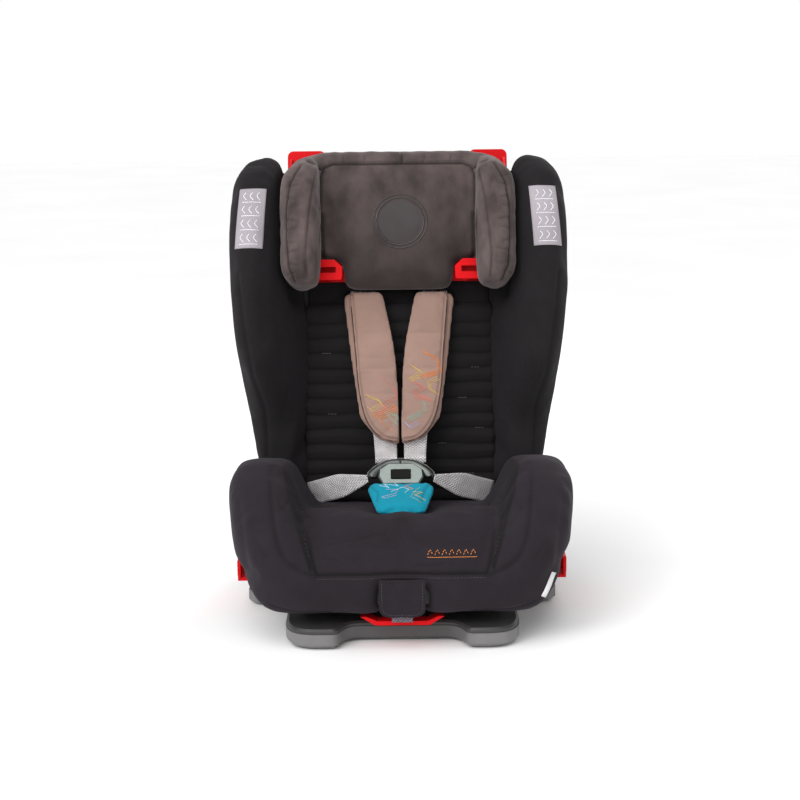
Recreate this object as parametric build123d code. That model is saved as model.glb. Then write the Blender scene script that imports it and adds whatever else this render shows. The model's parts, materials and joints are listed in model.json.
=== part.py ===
from build123d import *
import os
from math import atan2, cos, degrees, hypot, radians, sin, sqrt

# A forward-facing child car seat: a low recline base, a padded seat bucket with armrests, a leaning
# back with side wings, a headrest that slides up the back, and a five-point harness with its own
# buckle. Millimetres, +Z up. The sitter faces -Y, and left is -X, the left hand of someone who
# stands in front and looks at the seat. The origin is on the floor under the middle of the seat.

# Driving dimensions
ARM_HALF = 244.0  # half the width across the armrests
WING_HALF = 250.0  # half the width across the wings
FRONT_Y = -244.0  # front of the padding
BACK_Y = 70.0  # where the back's face meets the seat
BACK_Z = 130.0
LEAN = 15.0  # lean of the back, degrees from upright
WALL = 4.0  # moulded wall thickness
PADDING = 10.0  # padding over the seat shell
WEB = 2.0  # webbing thickness
WEB_HALF = 19.0  # half the harness webbing's width
SIDES = {"left": -1, "right": 1}

# Recline: the seat rocks on rails about an axis parallel to X
PIVOT_Y = 20.0
PIVOT_Z = 380.0
SHELL_R = 342.0  # underside of the deep middle of the seat shell
SIDE_R = 318.0  # underside of its raised flanks
RAIL_R = 344.0  # running face of the rails
RECLINE = 14.0  # degrees
RECLINE_STEPS = 6
PIN_R = 3.5  # locking pin
PIN_PATH_R = 344.5  # recline radius of the pin's axis
PIN_ANGLE = 3.5  # its place at rest, degrees behind straight down

# Base
PAD_TOP = 3.0
TRAY_TOP = 23.0
COVER_TOP = 30.0
BASE_HALF = 230.0
BASE_FRONT_HALF = 165.0
BASE_REAR_Y = 190.0
BASE_MID_Y = -204.0
LOBE_X = 98.0  # where each front lobe reaches furthest forward
LOBE_Y = -240.0
STEP_Y = -42.0  # where the base widens

# Headrest and back, in the back's own frame: x across, v rearward from the back's face, w up along it
HEAD_LOW = 325.0
HEAD_TOP = 540.0
HEAD_TRAVEL = 150.0
HEAD_STEPS = 6
PLATE = (32.0, 36.0)  # v of the back shell's plate
SHELL_TOP = 530.0
CUTOUT_HALF = 55.0  # half the width of the slot that the headrest carriage runs in
CUTOUT_LOW = 335.0
WING_LOW = 42.0
RACK_V = 43.0  # rear face of the headrest racks
LATCH_W = 400.0
LATCH_R = 3.0
CARRIAGE_V = (44.0, 53.0)  # the carriage's rear plate
ROD_X = 100.0
ROD_V = 48.5
ROD_R = 3.5
SLOT_W = (310.0, 326.0)  # harness slots
SLOT_X = (30.0, 82.0)

BACK = Location((0, BACK_Y, BACK_Z), (-LEAN, 0, 0))
HARNESS = Location((0, 60, 219), (-22.4, 0, 0))  # plane of the shoulder straps
CROTCH = Location((0, -52, 150), (21, 0, 0))  # plane of the crotch strap
BUCKLE = Location((0, 2, 168), (42, 0, 0))  # plane of the buckle

# Cushion line: the seat's upper surface from the rear to the front, as (y, z)
CUSHION_LINE = [(68, 130), (0, 137), (-55, 146), (-85, 158), (-112, 165), (-160, 155), (-205, 131),
                (-238, 104)]
CUSHION_THICK = 26.0


def outline(points, radius=0.0):
    """A closed polygon, every corner rounded if a radius is given."""
    face = make_face(Polyline(*points, close=True))
    return fillet(face.vertices(), radius) if radius else face


def rectangle(x, y):
    """The corners of a rectangle from pairs of limits."""
    return [(x[0], y[0]), (x[1], y[0]), (x[1], y[1]), (x[0], y[1])]


def prism_x(face, low, high):
    """A (y, z) face carried along X."""
    return extrude(Plane.YZ.offset(low) * face, high - low)


def prism_y(face, low, high):
    """An (x, z) face carried along Y."""
    return extrude(Plane.XZ.offset(-low) * face, low - high)


def prism_z(face, low, high):
    """An (x, y) face carried along Z."""
    return extrude(Pos(0, 0, low) * face, high - low)


def block(x, y, z):
    """A box from pairs of limits."""
    centre = Pos((x[0] + x[1]) / 2, (y[0] + y[1]) / 2, (z[0] + z[1]) / 2)
    return centre * Box(x[1] - x[0], y[1] - y[0], z[1] - z[0])


def rod_x(x, y, z, radius):
    """A cylinder along X."""
    return Pos((x[0] + x[1]) / 2, y, z) * Rot(0, 90, 0) * Cylinder(radius, x[1] - x[0])


def rod_y(x, y, z, radius):
    """A cylinder along Y."""
    return Pos(x, (y[0] + y[1]) / 2, z) * Rot(90, 0, 0) * Cylinder(radius, y[1] - y[0])


def both(shape):
    """A shape and its mirror image across the middle plane."""
    return shape + mirror(shape, about=Plane.YZ)


def sided(shape, side):
    """A shape made on the right, or its mirror image on the left."""
    return shape if side > 0 else mirror(shape, about=Plane.YZ)


def pair(shape):
    """A shape made on the right and its mirror image, as two separate solids."""
    return Compound([sided(shape, side) for side in SIDES.values()])


def ribbon(points, x):
    """Flat webbing along a (y, z) route, between two x edges."""
    runs = []
    for (y0, z0), (y1, z1) in zip(points, points[1:]):
        centre = ((x[0] + x[1]) / 2, (y0 + y1) / 2, (z0 + z1) / 2)
        turn = degrees(atan2(z1 - z0, y1 - y0))
        runs.append(Location(centre, (turn, 0, 0)) * Box(x[1] - x[0], hypot(y1 - y0, z1 - z0) + WEB, WEB))
    return runs[0] + runs[1:]


def in_world(v, w):
    """The (y, z) of a point of the back's frame."""
    a = radians(LEAN)
    return (BACK_Y + v * cos(a) + w * sin(a), BACK_Z + w * cos(a) - v * sin(a))


def on_arc(radius, y):
    """The (y, z) on the recline circle of that radius, below the axis."""
    return (y, PIVOT_Z - sqrt(radius**2 - (y - PIVOT_Y) ** 2))


def arc_level(radius, z):
    """The y where the front half of the recline circle comes down to that height."""
    return PIVOT_Y - sqrt(radius**2 - (PIVOT_Z - z) ** 2)


def rocker(radius, y0, y1, rest):
    """A (y, z) face with the recline arc from y0 to y1 as one side and the rest as straight sides."""
    arc = ThreePointArc(on_arc(radius, y0), on_arc(radius, (y0 + y1) / 2), on_arc(radius, y1))
    return make_face([arc, Polyline(on_arc(radius, y1), *rest, on_arc(radius, y0))])


def under_arc(radius, y0, y1, floor):
    """A (y, z) face that stands on a flat floor and has the recline arc for its top."""
    return rocker(radius, y0, y1, [(y1, floor), (y0, floor)])


# Base

PAD_SPOTS = [(-118, -195), (118, -195), (-190, 150), (190, 150)]
BASE_SCREWS = [(-120, -140), (120, -140), (-150, 120), (150, 120)]
SCREW_R = 3.0
TRAY_EDGE = 5.0  # chamfer along the tray's lower edge


def base_body(inset, rear_half, low, high):
    """A slab with the base's plan: two rounded lobes in front and a wider rear."""
    front_half = BASE_FRONT_HALF - inset
    flank = LOBE_Y + 58
    front = Spline(
        (56, BASE_MID_Y + inset),
        (LOBE_X, LOBE_Y + inset),
        (front_half, flank),
        tangents=[(1, 0), (1, 0), (0, 1)],
    )
    rest = Polyline(
        (front_half, flank),
        (front_half, STEP_Y - 30),
        (rear_half - 10, STEP_Y + inset),
        (rear_half, STEP_Y + 10 + inset),
        (rear_half, BASE_REAR_Y - 24),
        (rear_half - 24, BASE_REAR_Y - inset),
        (0, BASE_REAR_Y - inset),
        (0, BASE_MID_Y + inset),
        (56, BASE_MID_Y + inset),
    )
    return both(prism_z(make_face([front, rest]), low, high))


def base_tray():
    pocket = base_body(WALL, 186, PAD_TOP + 3, TRAY_TOP + 1)
    bosses = [Pos(x, y, 12) * Cylinder(8, 14) for x, y in BASE_SCREWS]
    holes = [Pos(x, y, 11) * Cylinder(SCREW_R, 18) for x, y in BASE_SCREWS]
    holes += [Pos(x, y, 4) * Cylinder(6, 4) for x, y in BASE_SCREWS]
    body = base_body(0, BASE_HALF, PAD_TOP, TRAY_TOP)
    body = chamfer(body.faces().sort_by(Axis.Z)[0].outer_wire().edges(), TRAY_EDGE)
    return body - pocket + bosses - holes


def base_cover():
    slab = base_body(1.5, 196, TRAY_TOP, COVER_TOP)
    slab = chamfer(slab.faces().sort_by(Axis.Z)[-1].outer_wire().edges(), 3)
    slab -= base_body(WALL + 2, 190, TRAY_TOP - 1, COVER_TOP - WALL)
    columns = [Pos(x, y, 23) * Cylinder(8, 8) for x, y in BASE_SCREWS]
    holes = [Pos(x, y, 21) * Cylinder(SCREW_R, 10) for x, y in BASE_SCREWS]
    return slab + columns - holes


def base_screws():
    """Pan-head screws from below, their heads sunk in the tray's floor."""
    screws = []
    for x, y in BASE_SCREWS:
        shaft = Pos(x, y, 15) * Cylinder(SCREW_R - 0.1, 18)
        screws.append(shaft + Pos(x, y, 5) * Cylinder(5.5, 2))
    return Compound(screws)


def foot_pads():
    return Compound([Pos(x, y, PAD_TOP / 2) * Cylinder(15, PAD_TOP) for x, y in PAD_SPOTS])


def base_sides():
    """The uprights at the edges of the base that guide the seat's flanks."""
    front, rear = STEP_Y + 14, 150
    section = [(204, TRAY_TOP), (215, TRAY_TOP), (BASE_HALF, 30), (BASE_HALF, 39), (222, 45), (222, 90),
               (212, 90), (212, 44), (204, 34)]
    keep = prism_x(under_arc(SIDE_R + 4, front, rear, 0), 190, 230)
    return pair(prism_y(outline(section), front, rear) & keep)


def recline_rails():
    """The curved tracks that carry the seat."""
    return pair(prism_x(under_arc(RAIL_R, -90, 150, COVER_TOP), 92, 108))


def pin_place(step):
    """The (y, z) of the locking pin's axis in that recline position, seen from the base."""
    a = radians(PIN_ANGLE - RECLINE * step / RECLINE_STEPS)
    return (PIVOT_Y + PIN_PATH_R * sin(a), PIVOT_Z - PIN_PATH_R * cos(a))


def recline_rack():
    """A toothed arc on the base, with a notch for each recline position."""
    body = prism_x(under_arc(RAIL_R - 1.2, -58, 58, COVER_TOP), -20, 20)
    room = PIN_R + 0.3
    for step in range(RECLINE_STEPS + 1):
        y, z = pin_place(step)
        body -= rod_x((-21, 21), y, z, room)
        body -= block((-21, 21), (y - room, y + room), (z, z + 12))
    return body


# Seat bucket

TUB_HALF = 150.0  # half the width of the deep middle
TUB_FRONT = FRONT_Y + PADDING + 5
TUB_REAR = 128.0
FLOOR_Z = 62.0  # level underside in front of the arc, in the middle
FLANK_Z = 86.0  # and at the flanks
RIM = [(60, 150), (20, 196), (-60, 212), (-140, 190), (-205, 122), (-221, 98)]  # upper edge of the shell
ADJUSTER_HALF = 28.0
SUNK = (-70.0, -54.0)  # y of the crotch strap's slot
ANCHOR = (-62.0, 64.0)  # (y, z) of the crotch strap's anchor bar
HINGE_ROD = in_world(34, -30)  # (y, z) of the rod that the back hooks onto
HINGE_ROD_R = 4.0


def plan(inset):
    """The bucket seen from above, drawn in by an amount."""
    right = [(150, FRONT_Y), (205, -224), (232, -180), (ARM_HALF, -110), (ARM_HALF, 200)]
    left = [(-x, y) for x, y in reversed(right)]
    face = outline([*right, *left])
    return offset(face, amount=-inset, kind=Kind.INTERSECTION) if inset else face


def seat_block(t, rise=0.0):
    """The seat shell's envelope, drawn in by t; rise lifts its upper edge."""
    front, rear = TUB_FRONT + t, TUB_REAR - t
    rim = [(rear, 126 + rise), *[(y, z + rise) for y, z in RIM], (front, 98 + rise)]
    body = None
    for radius, level, half in ((SHELL_R, FLOOR_Z, TUB_HALF), (SIDE_R, FLANK_Z, ARM_HALF)):
        y = arc_level(radius - t, level + t)
        side_view = rocker(radius - t, y, rear, [*rim, (front, level + t)])
        part = prism_x(side_view, t - half, half - t)
        body = part if body is None else body + part
    return body & prism_z(plan(PADDING + 8 + t), 0, 400)


def wedge():
    """The space between the armrests, widening upward."""
    section = outline([(-115, 20), (115, 20), (115, 95), (178, 255), (-178, 255), (-115, 95)])
    return prism_y(section, -270, 160)


def arms_region():
    """The right armrest's outer form, with the shell's place still filled."""
    side_view = outline(
        [(-222, 45), (FRONT_Y, 64), (FRONT_Y, 108), (-214, 158), (-148, 214), (-85, 231), (-20, 219),
         (42, 203),
         (36, 186), (38, 158), (112, 150), (116, 112), (-60, 90), (-150, 50)]
    )
    front_view = outline(
        [(100, 45), (150, 45), (190, 52), (222, 86), (237, 128), (ARM_HALF, 172), (ARM_HALF, 212), (226, 236),
         (100, 236)]
    )
    body = prism_x(side_view, 100, ARM_HALF) & prism_y(front_view, -260, 200) & prism_z(plan(0), 0, 400)
    return body - wedge() - BACK * block((0, 152), (-1, 90), (-80, 60))


def arm_pad(side):
    """The padding over the outside and the top of an armrest."""
    body = arms_region() - seat_block(0)
    body -= block((226, 260), (-70, 46), (30, 106))
    return sided(body, side)


def arm_foam(side):
    """The foam block inside an armrest."""
    return sided(arms_region() & seat_block(WALL), side)


def front_pad():
    """The padded panel across the front of the seat."""
    side_view = outline([(-222, 45), (FRONT_Y, 62), (FRONT_Y, 96), (-239, 103), (-229.2, 97.6),
                         (-229.2, 61.8),
                         (-150, 61.8), (-150, 50)])
    body = prism_x(side_view, -115, 115)
    body -= block((-34, 34), (-260, -228), (55, 98))
    return body - block((-18, 18), (-260, -140), (40, 60))


def seat_cushion():
    under = [(y, z - CUSHION_THICK) for y, z in CUSHION_LINE[-2::-1]]
    body = prism_x(outline([*CUSHION_LINE, (-226, 99), *under]), -180, 180) & wedge()
    body = body & BACK * block((-300, 300), (-600, -0.5), (-400, 900))
    dip = outline([(-55, 149), (-62, 144), (-80, 141), (-98, 156), (-150, 157), (-150, 200), (-55, 200)])
    body -= prism_x(dip, -46, 46)
    return body - block((-22, 22), SUNK, (90, 200))


def seat_foam():
    """The energy-absorbing block under the cushion, open underneath for the straps and the latch."""
    top = [(y, z - CUSHION_THICK - 0.3) for y, z in CUSHION_LINE[-2:0:-1]]
    side_view = outline([(-222, 20), (-222, 98), *top, (58, 100), (58, 20)])
    body = prism_x(side_view, -114, 114) & seat_block(WALL)
    body -= block((-40, 40), (-130, 70), (30, 72))
    body -= block((-22, 22), SUNK, (30, 200))
    return body - rod_x((-45, 45), *ANCHOR, 3.05)


def seat_shell():
    body = seat_block(0) - seat_block(WALL, 120)
    body -= block((-16, 16), (-160, 62), (30, 60))
    body -= block((-36, 36), (33, 49), (30, 60))
    for x in (-138, 130):
        y, z = HINGE_ROD
        body += block((x, x + 8), (y - 10, y + 10), (49, z + 10))
        body -= rod_x((x - 1, x + 9), y, z, HINGE_ROD_R + 0.05)
    return body


def hinge_rod():
    """The steel rod across the rear of the seat that the back hooks onto."""
    return rod_x((-138, 138), *HINGE_ROD, HINGE_ROD_R)


def slide_shoes():
    """Slippery strips under the shell that run on the rails."""
    strip = prism_x(under_arc(SHELL_R + 0.05, -60, 110, 20), 93.5, 106.5)
    strip -= prism_x(under_arc(RAIL_R - 0.4, -70, 120, 20), 93, 107)
    return pair(strip)


def lap_guide(side):
    """The hook under an armrest that the vehicle's lap belt lies in."""
    section = outline([(226.2, 104), (226.2, 46), (243, 46), (243, 78), (239, 78), (239, 50), (230, 50),
                       (230, 104)])
    body = prism_y(section, -62, 38)
    ends = [edge for edge in body.edges().filter_by(Axis.X) if edge.center().Z > 70]
    return sided(fillet(ends, 1.5), side)


def crotch_anchor():
    return rod_x((-44, 44), *ANCHOR, 3.0)


# Recline lock


def recline_handle():
    """The finger bar under the front edge, its arms flaring up to the sides."""
    face = outline([(-38, 31.5), (38, 31.5), (58, 44), (50, 44), (35, 37.5), (-35, 37.5), (-50, 44),
                    (-58, 44)])
    bar = prism_y(face, -226, -206)
    return bar + block((-13, 13), (-208, -180), (34, 49.5))


STRIP_Z = (49.5, 52.5)


def pull_strip():
    """The steel strip that carries the handle's pull back to the locking pin."""
    return block((-7, 7), (-204, 33), STRIP_Z)


def locking_pin():
    y, z = pin_place(0)
    return rod_x((-34, 34), y, z, PIN_R)


# Harness adjuster


def adjuster_housing():
    body = block((-ADJUSTER_HALF, ADJUSTER_HALF), (-240, -229.2), (59, 96))
    return body - block((-15, 15), (-241, -232), (62, 92)) - rod_x((-17, 17), -236, 88, 2.05)


def adjuster_lever():
    """The button that frees the webbing when its lower end is pressed in."""
    body = prism_x(outline([(-239.5, 66), (-235.5, 64), (-233.5, 84), (-233.5, 91),
                            (-239.5, 91)]), -14.5, 14.5)
    return body + rod_x((-16.5, 16.5), -236, 88, 2.0)


def adjuster_flap():
    """The cloth flap over the adjuster."""
    face = outline([(-32, 103), (-32, 62), (-20, 48), (20, 48), (32, 62), (32, 103)])
    return prism_y(face, FRONT_Y - 3.4, FRONT_Y - 0.4)


def adjuster_strap():
    """Webbing from the yoke down the back, forward under the seat and out below the adjuster."""
    route = [in_world(44, 232), in_world(44, 2), (112, 56.5), (-237, 56.5), (-237, 42)]
    return ribbon(route, (-14, 14))


# Harness


def harness_yoke():
    """The plate behind the back that gathers both shoulder straps."""
    plate = outline([(-64, 246), (64, 246), (56, 270), (-56, 270)])
    tail = outline(rectangle((-18, 18), (212, 248)))
    return BACK * prism_y(plate + tail, 40, 43)


def shoulder_strap(side):
    """Webbing from the yoke through the back, under the pad and down to the tongue."""
    top = (36, 74)
    low = (4, 42)
    front = HARNESS * prism_y(outline([(low[0], 0), (low[1], 0), (top[1], 238), (top[0], 238)]), 0, WEB)
    through = BACK * block(top, (-2.2, 40), (316, 316 + WEB))
    rear_face = outline([(22, 258), (60, 258), (top[1], 318), (top[0], 318)])
    rear = BACK * prism_y(rear_face, 38, 40)
    foot = ribbon([(60.5, 219.5), (35.5, 209)], low)
    return sided(front + [through, rear, foot], side)


def shoulder_pad(side):
    """The comfort pad over a shoulder strap."""
    face = outline([(0.6, 0), (36, 11), (62, 44), (74, 130), (86, 232), (80, 240), (22, 240), (14, 232),
                    (4, 140)])
    return sided(HARNESS * prism_y(face, -17, -0.3), side)


def crotch_strap():
    rise = block((-WEB_HALF, WEB_HALF), (-63, -61), (68, 147))
    y, z = ANCHOR
    loop = block((-WEB_HALF, WEB_HALF), (y - 5, y + 5), (z - 5, z + 5)) - rod_x((-20, 20), y, z, 3.05)
    top = CROTCH * block((-WEB_HALF, WEB_HALF), (-11, 55), (0, WEB))
    return rise + [loop, top]


def crotch_pad():
    face = outline([(-36, -21), (36, -21), (51, 38), (45, 52), (-45, 52), (-51, 38)], 4)
    return CROTCH * prism_z(face, WEB + 0.3, 14)


BUTTON_X = 15.0
BUTTON_U = (9.0, 26.0)
TONGUE_N = (3.0, 6.0)


def buckle_housing():
    face = outline([(-27, 0), (27, 0), (34, 14), (33, 27), (19, 38), (-19, 38), (-33, 27), (-34, 14)], 3)
    body = prism_z(face, -5, 12)
    body = chamfer(body.faces().sort_by(Axis.Z)[-1].edges(), 2)
    body -= block((-BUTTON_X - 0.4, BUTTON_X + 0.4), (BUTTON_U[0] - 0.4, BUTTON_U[1] + 0.4), (7, 13))
    return BUCKLE * (body - block((-14, 14), (28, 39), (TONGUE_N[0] - 0.2, TONGUE_N[1] + 0.2)))


def buckle_button():
    body = prism_z(outline(rectangle((-BUTTON_X, BUTTON_X), BUTTON_U), 4), 10.5, 14)
    return BUCKLE * chamfer(body.faces().sort_by(Axis.Z)[-1].edges(), 0.8)


def buckle_tongue(side):
    face = outline([(0.4, 38.3), (0.4, 51), (22, 48.5), (40, 37), (51, 24), (48, 17), (41, 17), (35, 24),
                    (34.4, 27.4), (19.4, 38.3)])
    face -= outline(rectangle((4, 21), (41.5, 46)))
    body = prism_z(face, *TONGUE_N) + block((0.4, 13), (29, 38.4), TONGUE_N)
    return sided(BUCKLE * body, side)


def lap_strap(side):
    """Webbing from the tongue down to the corner of the seat."""
    inner = Vector(53, 19, 179)
    outer = Vector(131, 61, 148)
    along = outer - inner
    across = Vector(0, 0.1, 1) - along.normalized() * Vector(0, 0.1, 1).dot(along.normalized())
    place = Plane(origin=(inner + outer) / 2, x_dir=along, z_dir=along.cross(across))
    return sided(place * Box(along.length, 2 * WEB_HALF - 4, WEB), side)


# Back

SHELL_SCREWS = [(138, w) for w in (90, 210, 350, 470)]
BACK_SCREW_R = 2.5


def back_shell():
    body = prism_y(outline(rectangle((-150, 150), (-14, SHELL_TOP)), 8), *PLATE)
    body += both(block((124, 128), (PLATE[1], 43), (16, 445)))
    body += block((-128, 128), (PLATE[1], 43), (16, 20))
    hook_y = (24, 46)
    for x in (-112, 92):
        body += block((x, x + 20), hook_y, (-41, -12))
    body -= rod_x((-140, 140), 34, -30, HINGE_ROD_R + 0.05)
    body -= block((-CUTOUT_HALF, CUTOUT_HALF), (30, 38), (CUTOUT_LOW, SHELL_TOP + 1))
    body -= both(block(SLOT_X, (30, 38), SLOT_W))
    for x, w in SHELL_SCREWS:
        body -= both(rod_y(x, (30, 38), w, BACK_SCREW_R + 0.1))
    return BACK * (body - block((-20, 20), (PLATE[1] + 1, 44), (15, 21)))


def wing_region():
    """One side wing, from its outlines seen along the back, from the side and from the front."""
    seen_along = outline(
        [(152, 0), (152, 27), (204, 42), (238, 28), (WING_HALF, -30), (WING_HALF, -108), (236, -132),
         (208, -134),
         (184, -66)], 8
    )
    side_view = outline(
        [(-40, WING_LOW), (-42, 112), (-122, 206), (-134, 300), (-130, 420), (-98, 496), (-46, 532), (8, 532),
         (42, 504), (42, WING_LOW)], 8
    )
    front_view = outline(
        [(150, WING_LOW), (215, WING_LOW), (222, 110), (240, 235), (WING_HALF, 330), (WING_HALF, 430),
         (247, 490),
         (236, 521), (208, 532), (180, 532), (150, 504)], 8
    )
    body = prism_z(seen_along, WING_LOW, 540) & prism_x(side_view, 140, 260) & prism_y(front_view, -150, 60)
    return body - block((140, 178.6), (-150, 12.5), (302, 560))


def wing_shell(side):
    """The moulded side plate inside a wing, with a flange that screws to the back shell."""
    bend = outline([(126, 28), (126, 32), (152, 32), (205, 25), (232, -30), (234, -100), (230, -100),
                    (228, -32),
                    (202, 21), (151, 28)])
    view = outline([(34, 60), (34, 500), (0, 512), (-50, 508), (-88, 470), (-100, 400), (-100, 290),
                    (-30, 240),
                    (20, 225), (24, 60)])
    body = prism_z(bend, 60, 512) & prism_x(view, 120, 260)
    for x, w in SHELL_SCREWS:
        body -= rod_y(x, (20, 40), w, BACK_SCREW_R + 0.1)
    return sided(BACK * body, side)


def wing_pad(side):
    return sided(BACK * wing_region() - wing_shell(1), side)


def back_screws():
    """Screws through the back shell into the wings' flanges."""
    screws = []
    for x, w in SHELL_SCREWS:
        for side in SIDES.values():
            shaft = rod_y(side * x, (28, 36.5), w, BACK_SCREW_R)
            screws.append(BACK * (shaft + rod_y(side * x, (36.1, 38.6), w, 5)))
    return Compound(screws)


def back_cushion():
    body = block((-148, 148), (0, 27), (-3, 303)) + block((-144, 144), (13, 27), (302, 500))
    body -= block((-CUTOUT_HALF - 1, CUTOUT_HALF + 1), (-1, 31), (CUTOUT_LOW - 2, 501))
    return BACK * (body - both(block(SLOT_X, (-1, 31), SLOT_W)))


def headrest_racks():
    """Notched strips behind the back shell, one notch for each headrest height."""
    body = block((64, 76), (PLATE[1], RACK_V), (CUTOUT_LOW + 35, SHELL_TOP))
    for step in range(HEAD_STEPS + 1):
        w = LATCH_W + HEAD_TRAVEL * step / HEAD_STEPS
        if w < SHELL_TOP:
            body -= rod_x((63, 77), RACK_V - 1, w, LATCH_R + 0.3)
    return pair(BACK * body)


def rod_guides():
    """Bushes on the back shell that the headrest's rods slide in."""
    body = block((88, 112), (PLATE[1], CARRIAGE_V[1] + 1), (292, 328))
    body -= Pos(ROD_X, ROD_V, 310) * Cylinder(ROD_R + 0.05, 40)
    return pair(BACK * body)


def rear_cover():
    """The moulded cover over the back's mechanism, open at the top."""
    outer = outline([(-136, 16), (136, 16), (136, 445), (-136, 445)], 14)
    inner = outline([(-133, 19), (133, 19), (133, 470), (-133, 470)], 11)
    body = prism_y(outer, 43.2, 58)
    rim = body.faces().sort_by(Axis.Y)[-1].edges()
    return BACK * (chamfer(rim, 2.5) - prism_y(inner, 43, 55) - block((-20, 20), (43, 46), (15, 20)))


# Headrest

GUIDE_X = (86.0, 130.0)
GUIDE_W = (338.0, 369.0)
GUIDE_V = (-51.0, -42.0)
GUIDE_GAP = (349.0, 358.0)
HANDLE_W = (478.0, 526.0)
HANDLE_V = (14.0, 30.0)
LEG_X = (26.0, 34.0)


def headrest_shell():
    face = outline(rectangle((-171, 171), (341, 535)), 9)
    face += both(outline(rectangle((112, 171), (500, 547)), 9))
    plate = prism_y(face, 2, 7)
    view = outline([(3, 345), (3, 532), (-30, 528), (-70, 500), (-88, 450), (-88, 380), (-60, 345)], 4)
    return BACK * (plate + both(prism_x(view, 162, 166)))


def head_pad():
    """The centre pad, notched at its lower corners for the belt guides."""
    side_view = outline([(-40, HEAD_LOW), (-44, 345), (-42, 520), (-34, HEAD_TOP), (1.7, HEAD_TOP),
                         (1.7, HEAD_LOW)])
    notch = block((GUIDE_X[0] - 2, 125), (-50, 3), (HEAD_LOW - 1, GUIDE_W[1] + 3))
    return BACK * (prism_x(side_view, -124, 124) - both(notch))


def head_side_pad(side):
    """The deep pad at one side of the head."""
    seen_along = outline([(125, 1.7), (124.5, -46), (120, -58), (121, -104), (134, -116), (166, -114),
                          (177, -92),
                          (177, 1.7)])
    side_view = outline([(1.7, 324), (-60, 320), (-102, 327), (-117, 354), (-117, 466), (-96, 508),
                         (-44, 534),
                         (1.7, 537)])
    body = prism_z(seen_along, 300, 560) & prism_x(side_view, 120, 180)
    body -= block((161.8, 166.2), (-89, 2), (344, 533))
    return sided(BACK * (body - block((120, GUIDE_X[1] + 1.5), (-53, 3), (300, GUIDE_W[1] + 2))), side)


def belt_guide(side):
    """A hook at the headrest's lower corner that steers the vehicle's shoulder belt."""
    face = [(87, GUIDE_W[0]), (GUIDE_X[1], GUIDE_W[0]), (GUIDE_X[1], GUIDE_W[1]), (98, GUIDE_W[1]), (86, 358)]
    plate = prism_y(outline(face, 4), *GUIDE_V)
    plate -= block((96, GUIDE_X[1] + 1), (GUIDE_V[0] - 1, GUIDE_V[1] + 1), GUIDE_GAP)
    stalk = block((108, 129), (GUIDE_V[1] - 1, 1.9), (GUIDE_W[0] + 2, GUIDE_W[0] + 9))
    return sided(BACK * (plate + stalk), side)


def headrest_carriage():
    """The sliding block that joins the headrest to its rods through the back."""
    body = block((-50, 50), (7, CARRIAGE_V[0]), (342, 440)) + block((-112, 112), CARRIAGE_V, (342, 440))
    body -= block((-82, 82), (38, CARRIAGE_V[1] + 1), (LATCH_W - 5, LATCH_W + 5))
    body -= both(block((LEG_X[0] - 0.3, LEG_X[1] + 0.3), (18.7, 25.3), (408, 441)))
    body -= both(Pos(ROD_X, ROD_V, 390) * Cylinder(ROD_R, 100))
    return BACK * body


def headrest_rods():
    return pair(BACK * Pos(ROD_X, ROD_V, 268) * Cylinder(ROD_R, 264))


def release_handle():
    """The pull grip behind the top of the headrest, on two legs that slide in the carriage."""
    face = outline(rectangle((-42, 42), HANDLE_W), 9) - outline(rectangle((-31, 31), (489, 515)), 6)
    legs = both(block(LEG_X, (19, 25), (424, HANDLE_W[0] + 2)))
    return BACK * (prism_y(face, *HANDLE_V) + legs)


def latch_bar():
    return BACK * rod_x((-80, 80), RACK_V - 1, LATCH_W, LATCH_R)


SINGLE = [
    foot_pads, base_tray, base_cover, base_screws, base_sides, recline_rails, recline_rack,
    seat_shell, seat_foam, front_pad, seat_cushion, hinge_rod, slide_shoes, crotch_anchor,
    recline_handle, pull_strip, locking_pin,
    adjuster_housing, adjuster_lever, adjuster_flap, adjuster_strap,
    harness_yoke, crotch_strap, crotch_pad, buckle_housing, buckle_button,
    back_shell, back_screws, back_cushion, headrest_racks, rod_guides, rear_cover,
    headrest_shell, head_pad, headrest_carriage, headrest_rods, release_handle, latch_bar,
]
PAIRED = [
    arm_pad, arm_foam, lap_guide, shoulder_strap, shoulder_pad, buckle_tongue,
    lap_strap, wing_shell, wing_pad, head_side_pad, belt_guide,
]

os.makedirs("parts", exist_ok=True)
for make in SINGLE:
    export_step(make(), f"parts/{make.__name__}.step")
for make in PAIRED:
    for name, side in SIDES.items():
        export_step(make(side), f"parts/{make.__name__}_{name}.step")
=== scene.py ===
import json
from math import asin, cos, pi, radians, sin

import bpy
import numpy as np
from mathutils import Matrix, Vector
from mathutils.bvhtree import BVHTree


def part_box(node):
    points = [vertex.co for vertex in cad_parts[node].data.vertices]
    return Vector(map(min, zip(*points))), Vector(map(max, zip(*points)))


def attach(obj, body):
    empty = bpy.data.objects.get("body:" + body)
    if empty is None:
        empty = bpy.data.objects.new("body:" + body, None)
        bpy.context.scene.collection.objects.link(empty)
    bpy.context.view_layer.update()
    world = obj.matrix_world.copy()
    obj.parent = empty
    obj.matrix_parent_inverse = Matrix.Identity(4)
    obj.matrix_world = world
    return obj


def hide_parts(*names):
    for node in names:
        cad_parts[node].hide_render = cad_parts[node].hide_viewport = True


# A child car seat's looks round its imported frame. Metres, +Z up, the sitter faces -Y.

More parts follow.
